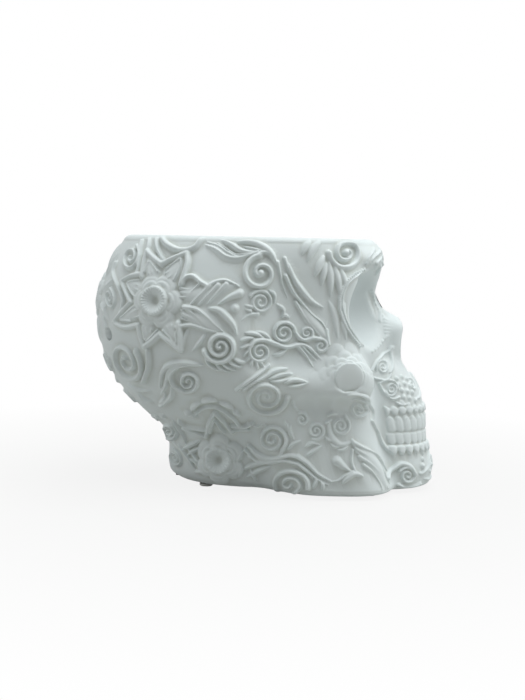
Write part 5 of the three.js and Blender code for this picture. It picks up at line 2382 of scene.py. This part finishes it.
@dataclass(frozen=True)
class LampFixing:
    """What clamps the holder to the floor: threaded nipple, washers, lock nut and cord bush."""

    x: float = -6.0
    nipple: float = 5.0
    nipple_wall: float = 1.3
    nipple_low: float = 3.8
    nipple_high: float = 21.9
    nipple_pitch: float = 1.0
    thread_depth: float = 0.3
    bevel: float = 0.3
    segments: int = 64
    washer_segments: int = 80
    washer_hole: float = 5.2
    rubber: float = 11.0
    steel: float = 10.0
    washer: float = 1.2
    lower_washer: float = 10.5
    steel_washer: float = 9.3
    upper_washer: float = 16.2
    nut_low: float = 5.3
    nut_high: float = 9.3
    nut_flats: float = 7.0
    nut_columns: int = 96
    nut_bevel: float = 0.5
    nut_sharp: float = 30.0
    bush_low: float = 2.6
    bush_flange: float = 5.8
    bush_spigot: float = 3.5
    bush_bore: float = 2.5
    bush_high: float = 9.8

    def build(self) -> dict[str, Piece]:
        """Turns each piece, and presses the nut.

        Returns:
            Pieces by the node each stands for.
        """
        low, high, outer, bevel = self.nipple_low, self.nipple_high, self.nipple, self.bevel
        bore = outer - self.nipple_wall
        nipple = [
            (bore, low), (outer - bevel, low), (outer, low + bevel), (outer, high - bevel),
            (outer - bevel, high), (bore, high),
        ]
        thread = Thread(low, high, self.nipple_pitch, self.thread_depth)
        bush = [
            (self.bush_bore + 0.6, self.bush_low), (self.bush_flange - 0.4, self.bush_low),
            (self.bush_flange, self.bush_low + 0.5), (self.bush_flange, self.nipple_low),
            (self.bush_spigot, self.nipple_low), (self.bush_spigot, self.bush_high),
            (self.bush_bore, self.bush_high), (self.bush_bore, self.bush_low + 0.7),
        ]
        return {
            "threaded_nipple": turned("nipple_steel", nipple, self.x, self.segments, thread),
            "lower_rubber_washer": self.ring("lower_washer_rubber", self.rubber, self.lower_washer),
            "upper_rubber_washer": self.ring("upper_washer_rubber", self.rubber, self.upper_washer),
            "steel_washer": self.ring("washer_steel", self.steel, self.steel_washer),
            "lock_nut": self.nut(),
            "cord_bush": turned("bush_nylon", eased(bush, bevel), self.x, self.segments),
        }

    def ring(self, name: str, outer: float, low: float) -> Piece:
        """A flat washer with eased edges.

        Args:
            name: the piece's name.
            outer: its outer radius, in mm.
            low: the height of its underside, in mm.

        Returns:
            The washer.
        """
        high = low + self.washer
        corners = [(self.washer_hole, low), (outer, low), (outer, high), (self.washer_hole, high)]
        return turned(name, eased(corners, self.bevel), self.x, self.washer_segments)

    def nut(self) -> Piece:
        """A hexagon nut whose corners are turned off at both ends.

        The section's radius is the lesser of a hexagon's, flats over cosine of the turn, and a cone's.

        Returns:
            The nut.
        """
        turn = full_turn(self.nut_columns)
        off = (turn % (np.pi / 3)) - np.pi / 6
        hexagon = self.nut_flats / np.cos(off)
        corner = self.nut_flats / math.cos(math.pi / 6)
        low, high, bevel = self.nut_low, self.nut_high, self.nut_bevel
        cone = ((self.nut_flats - 0.1, 0.0), (self.nut_flats + 0.35, 0.2), (corner, 0.6))
        ends = [(limit, low + step) for limit, step in cone]
        ends += [(limit, high - step) for limit, step in cone[::-1]]
        hole = ((bevel, high), (0.0, high - bevel), (0.0, low + bevel), (bevel, low))
        rows = [(np.minimum(hexagon, limit), z) for limit, z in ends]
        rows += [(np.full_like(hexagon, self.washer_hole + wider), z) for wider, z in hole]
        radius = np.stack([ring for ring, _ in rows])
        height = np.repeat([[z] for _, z in rows], self.nut_columns, 1)
        points = np.stack([self.x + radius * np.cos(turn), radius * np.sin(turn), height], -1)
        faces = grid_faces(len(rows), self.nut_columns, True, True)
        return tidy_piece("nut_steel", new_mesh("nut_steel", points.reshape(-1, 3), faces), self.nut_sharp)


@dataclass(frozen=True)
class Feet:
    """Soft pads under the foot ring, and the cord inlet's rubber grommet."""

    pads: tuple[str, ...] = (
        "foot_pad_front_left", "foot_pad_front_right", "foot_pad_rear_left", "foot_pad_rear_right",
    )
    recess: float = 4.0
    grommet_bore: float = 3.0
    grommet_outer: float = 4.1
    flange: float = 5.0
    flange_thickness: float = 1.4
    easing: float = 0.25
    segments: int = 64
    pad_segments: int = 48

    def build(self) -> dict[str, Piece]:
        """Turns a domed pad where each stands, and the grommet along X.

        Returns:
            Pieces by the node each stands for.
        """
        made = {}
        for pad in self.pads:
            low, high = (np.array(corner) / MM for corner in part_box(pad))
            x, y, _ = (0.5 * (low + high)).tolist()
            radius = 0.5 * (high[0] - low[0])
            outline = [
                (0.0, 0.25), (radius - 1.3, 0.2), (radius - 0.9, 0.0), (radius - 0.35, 0.0),
                (radius, 0.35), (radius, high[2]), (0.0, high[2]),
            ]
            made[pad] = turned(f"{pad}_rubber", outline, x, self.pad_segments)
            made[pad].data.transform(Matrix.Translation((0.0, y * MM, 0.0)))
        made["cord_inlet_grommet"] = self.grommet()
        return made

    def grommet(self) -> Piece:
        """A sleeve through the wall with an eased flange inside it.

        Returns:
            The grommet.
        """
        low, high = (np.array(corner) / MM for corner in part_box("cord_inlet_grommet"))
        face = float(high[0])
        seat = face - self.flange_thickness
        end = float(low[0]) + self.recess
        outline = [
            (self.grommet_bore + 0.4, end), (self.grommet_outer, end), (self.grommet_outer, seat),
            (self.flange, seat), (self.flange, face - 0.3), (self.flange - 0.4, face),
            (self.grommet_bore + 0.5, face), (self.grommet_bore, face - 0.5),
            (self.grommet_bore, end + 0.6),
        ]
        piece = turned("grommet_rubber", eased(outline, self.easing), 0.0, self.segments)
        return along_x(piece, 0.0, float(low[2] + high[2]) / 2)


@dataclass(frozen=True)
class Bulb:
    """The small screw bulb: contact tip, insulator, threaded cap, glass, stem and filament."""

    x: float = -6.0
    base: float = 34.4
    tip: float = 2.0
    tip_face: float = 1.2
    insulator_low: float = 35.2
    cap_low: float = 36.8
    cap_top: float = 53.8
    cap: float = 6.95
    cap_wall: float = 0.5
    insulator: float = 4.6
    insulator_face: float = 2.8
    insulator_hole: float = 2.3
    glass_low: float = 48.8
    crown: float = 92.4
    widest: float = 13.0
    glass: float = 0.8
    neck: float = 6.25
    stem_top: float = 66.8
    stem_rod: float = 1.6
    thread_pitch: float = 2.8
    thread_depth: float = 0.35
    shoulder: float = 1.6
    easing: float = 0.3
    segments: int = 96
    small_segments: int = 48
    shoulder_steps: int = 18
    crown_steps: int = 16
    shoulder_pulls: Spot = (0.254, 0.203)
    wire: float = 0.25
    wire_steps: int = 480
    wire_sides: int = 8
    span: float = 6.0
    coil: float = 0.35
    coil_turns: float = 60.0
    wire_end: float = 0.01
    wire_sharp: float = 80.0

    def build(self) -> dict[str, Piece]:
        """Turns the round pieces and bends the filament.

        Returns:
            Pieces by the node each stands for.
        """
        tip = [
            (0.0, self.base), (self.tip_face, self.base + 0.06), (self.tip - 0.2, self.insulator_low - 0.3),
            (self.tip, self.insulator_low), (0.0, self.insulator_low),
        ]
        insulator = [
            (0.0, self.insulator_low), (self.insulator_face, self.insulator_low),
            (self.insulator, self.cap_low), (0.0, self.cap_low),
        ]
        shoulder = self.cap_low + self.shoulder
        inside = self.cap - self.cap_wall
        cap = [
            (self.insulator_hole, self.cap_low), (self.insulator, self.cap_low), (self.cap, shoulder),
            (self.cap, self.cap_top), (inside, self.cap_top), (inside, shoulder + self.cap_wall),
            (self.insulator_hole, self.cap_low + self.cap_wall),
        ]
        thread = Thread(shoulder, self.cap_top - 3.0, self.thread_pitch, self.thread_depth)
        flare = self.neck - self.glass - self.easing
        stem = [
            (0.0, self.glass_low), (flare, self.glass_low), (0.5 * flare, self.glass_low + 1.5),
            (self.stem_rod, self.glass_low + 4.0), (self.stem_rod, self.stem_top - 0.8),
            (0.7 * self.stem_rod, self.stem_top), (0.0, self.stem_top),
        ]
        return {
            "bulb_tip": turned("tip_metal", tip, self.x, 40),
            "bulb_insulator": turned("insulator_phenolic", eased(insulator, self.easing), self.x, 64),
            "bulb_cap": turned("bulb_cap_metal", cap, self.x, self.segments, thread),
            "bulb_glass": turned("bulb_glass_blown", self.envelope(), self.x, self.segments),
            "bulb_stem": turned("bulb_stem_glass", eased(stem, self.easing), self.x, self.small_segments),
            "bulb_filament": self.filament(),
        }

    def envelope(self) -> list[Spot]:
        """The glass's section: neck, a cubic shoulder, a round crown, and the same again inside it.

        Returns:
            The closed outline.
        """
        rise = self.crown - self.widest - self.cap_top
        part = np.linspace(0.0, 1.0, self.shoulder_steps)
        turn = np.linspace(0.0, 0.5 * np.pi, self.crown_steps)[1:]

        def skin(wall: float) -> list[Spot]:
            """One skin of the glass, from the neck up to the crown.

            Args:
                wall: how far inside the outer skin it lies.

            Returns:
                Points as (radius, height).
            """
            narrow = self.neck - wall
            wide = self.widest - wall
            blend = 3 * part**2 * (1 - part) + part**3
            radius = narrow + (wide - narrow) * blend
            first, second = self.shoulder_pulls
            pulls = 3 * part * (1 - part) ** 2 * first + 3 * part**2 * (1 - part) * second + part**3
            side = list(zip(radius.tolist(), (self.cap_top + rise * pulls).tolist()))
            dome_z = self.crown - self.widest + wide * np.sin(turn)
            dome = list(zip((wide * np.cos(turn)).tolist(), dome_z.tolist()))
            dome[-1] = (0.0, dome[-1][1])
            return [(narrow, self.glass_low)] + side + dome

        return skin(self.glass)[::-1] + skin(0.0)

    def filament(self) -> Piece:
        """A bent wire with a fine coil over its top: a circle carried along a path.

        Returns:
            The filament.
        """
        height = self.stem_top - self.glass_low
        beside = self.stem_rod + self.wire + 0.2
        place = np.array([-beside, -beside, -self.span, 0.0, self.span, beside, beside])
        level = self.stem_top + height * np.array([-0.5, -0.25, 0.25, 0.17, 0.25, -0.25, -0.5])
        order = np.arange(len(place))
        step = np.linspace(0.0, order[-1], self.wire_steps)
        x = smooth_through(order, place, step)
        z = smooth_through(order, level, step)
        coil = unit(np.minimum(step - 2.0, 4.0 - step) * 4.0) * self.coil
        turns = self.coil_turns * step
        path = np.stack([x, coil * np.cos(turns), z + coil * np.sin(turns)], 1)
        way = np.gradient(path, axis=0)
        way /= np.linalg.norm(way, axis=1)[:, None]
        side = np.cross(way, (0.0, 1.0, 0.0))
        side /= np.linalg.norm(side, axis=1)[:, None]
        other = np.cross(way, side)
        turn = full_turn(self.wire_sides)[None, :, None]
        ring = np.cos(turn) * side[:, None] + np.sin(turn) * other[:, None]
        thin = np.full(len(path), self.wire)
        thin[[0, -1]] = self.wire_end
        points = path[:, None] + thin[:, None, None] * ring
        points[..., 0] += self.x
        faces = grid_faces(len(path), self.wire_sides, False, True)
        mesh = new_mesh("filament_wire", points.reshape(-1, 3), faces)
        return tidy_piece("filament_wire", mesh, self.wire_sharp)


@dataclass(frozen=True)
class Studio:
    """A pale floor, a white surround, and soft light from above, the face's side and the back."""

    floor_size: float = 12.0
    surround: float = 0.16
    key_size: float = 1.1
    key_power: float = 13.0
    key_place: Triple = (0.25, -0.15, 1.1)
    side_size: float = 0.6
    face_power: float = 1.8
    face_place: Triple = (0.8, -0.15, 0.35)
    back_power: float = 1.7
    back_place: Triple = (-0.8, -0.15, 0.35)
    light_colour: Colour = (0.96, 1.0, 1.0)
    floor_colour: Colour = (0.5, 0.5, 0.48)
    shadow_near: float = 0.1
    shadow_far: float = 0.3
    shadow_share: float = 0.14
    aim: Triple = (0.0, 0.0, 0.06)

    def build(self) -> None:
        """Adds the floor, the world and the lamps."""
        self.floor()
        self.world()
        self.lamp("key", self.key_place, self.key_size, self.key_power)
        self.lamp("face_side", self.face_place, self.side_size, self.face_power)
        self.lamp("back_side", self.back_place, self.side_size, self.back_power)

    def lamp(self, name: str, place: Triple, size: float, power: float) -> None:
        """A square soft light that faces the skull.

        Args:
            name: the lamp's name.
            place: where it hangs, in metres.
            size: its side, in metres.
            power: watts.
        """
        light = bpy.data.lights.new(name, "AREA")
        light.size = size
        light.energy = power
        light.color = self.light_colour
        lamp = bpy.data.objects.new(name, light)
        aim = Vector(self.aim) - Vector(place)
        lamp.matrix_world = Matrix.Translation(place) @ aim.to_track_quat("-Z", "Y").to_matrix().to_4x4()
        bpy.context.collection.objects.link(lamp)

    def world(self) -> None:
        """An even surround that lights the object gently and is white where it is seen or mirrored."""
        shader = Shader(bpy.data.worlds.new("surround"))
        level = self.surround + (1.0 - self.surround) * shader.seen()
        light = shader.node("ShaderNodeBackground", None, {"Color": WHITE, "Strength": level})
        bpy.context.scene.world = shader.end(light, "ShaderNodeOutputWorld")

    def floor(self) -> None:
        """A wide pale floor that takes the skull's shadow and is lifted to white where it is seen."""
        half = 0.5 * self.floor_size / MM
        square = ((-1, -1, 0), (1, -1, 0), (1, 1, 0), (-1, 1, 0))
        piece = new_piece("floor", new_mesh("floor", half * np.array(square), np.array([[0, 1, 2, 3]])))
        shader = Shader(bpy.data.materials.new("pale_floor"))
        dull = shader.node("ShaderNodeBsdfDiffuse", None, {"Color": (*self.floor_colour, 1.0)})
        white = shader.node("ShaderNodeEmission", None, {"Color": WHITE, "Strength": 1.0})
        far = shader.node("ShaderNodeVectorMath", {"operation": "LENGTH"}, {0: shader.place()}, "Value")
        span = self.shadow_far - self.shadow_near
        faded = shader.node(
            "ShaderNodeMath", {"operation": "MULTIPLY_ADD", "use_clamp": True},
            {0: far, 1: 1.0 / span, 2: -self.shadow_near / span},
        )
        share = 1.0 - self.shadow_share + self.shadow_share * faded
        lifted = shader.node("ShaderNodeMixShader", None, {0: shader.seen() * share, 1: dull, 2: white})
        piece.data.materials.append(shader.end(lifted))


def dress(
    piece: Piece, body: str, nodes: Sequence[str], slot: str, looks: dict[str, Material]
) -> None:
    """Rides a piece on its body in place of its CAD nodes, and gives it its finish.

    Args:
        piece: the piece.
        body: the body it moves with.
        nodes: the nodes it stands for.
        slot: the record's material slot.
        looks: materials by slot.
    """
    piece.data.materials.clear()
    piece.data.materials.append(looks[slot])
    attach(piece, body)
    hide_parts(*nodes)
    LOG.info("%s rides on %s for %s", piece.name, body, ", ".join(nodes))


def main() -> None:
    """Builds the camera, the studio and each sub-assembly."""
    logging.basicConfig(level=logging.INFO, format="%(message)s")
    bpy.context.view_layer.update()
    bpy.context.scene.view_settings.view_transform = "Standard"
    looks = {slot: finish.make() for slot, finish in FINISHES.items()}
    slots = {part["node"]: part["material_slot"] for part in frame["record"]["subparts"]}
    bodies = frame["record"]["behaviour"]["bodies"]
    body_of = {node: body for body, nodes in bodies.items() for node in nodes}
    view = Viewpoint()
    view.build()
    Studio().build()
    head = Head()
    shell_nodes = [node for node in slots if node.startswith("skull_shell")]
    for side, half in Shell(head, view).build().items():
        nodes = [node for node in shell_nodes if side in node or "base" in node]
        dress(half, "skull", nodes, "bisque", looks)
    dress(WaxDish(head).build(), "dish", ["wax_dish"], "glaze", looks)
    made: dict[str, Piece] = {}
    for assembly in (LampHolder(), LampFixing(), Feet(), Bulb()):
        made.update(assembly.build())
    for node, piece in made.items():
        dress(piece, body_of[node], [node], slots[node], looks)
    for node in slots:
        if node not in made and node not in shell_nodes and node != "wax_dish":
            kept = frame["nodes"][node]
            kept.data.materials.clear()
            kept.data.materials.append(looks[slots[node]])
            LOG.info("%s keeps its shape", node)


if __name__ == "__main__":
    main()
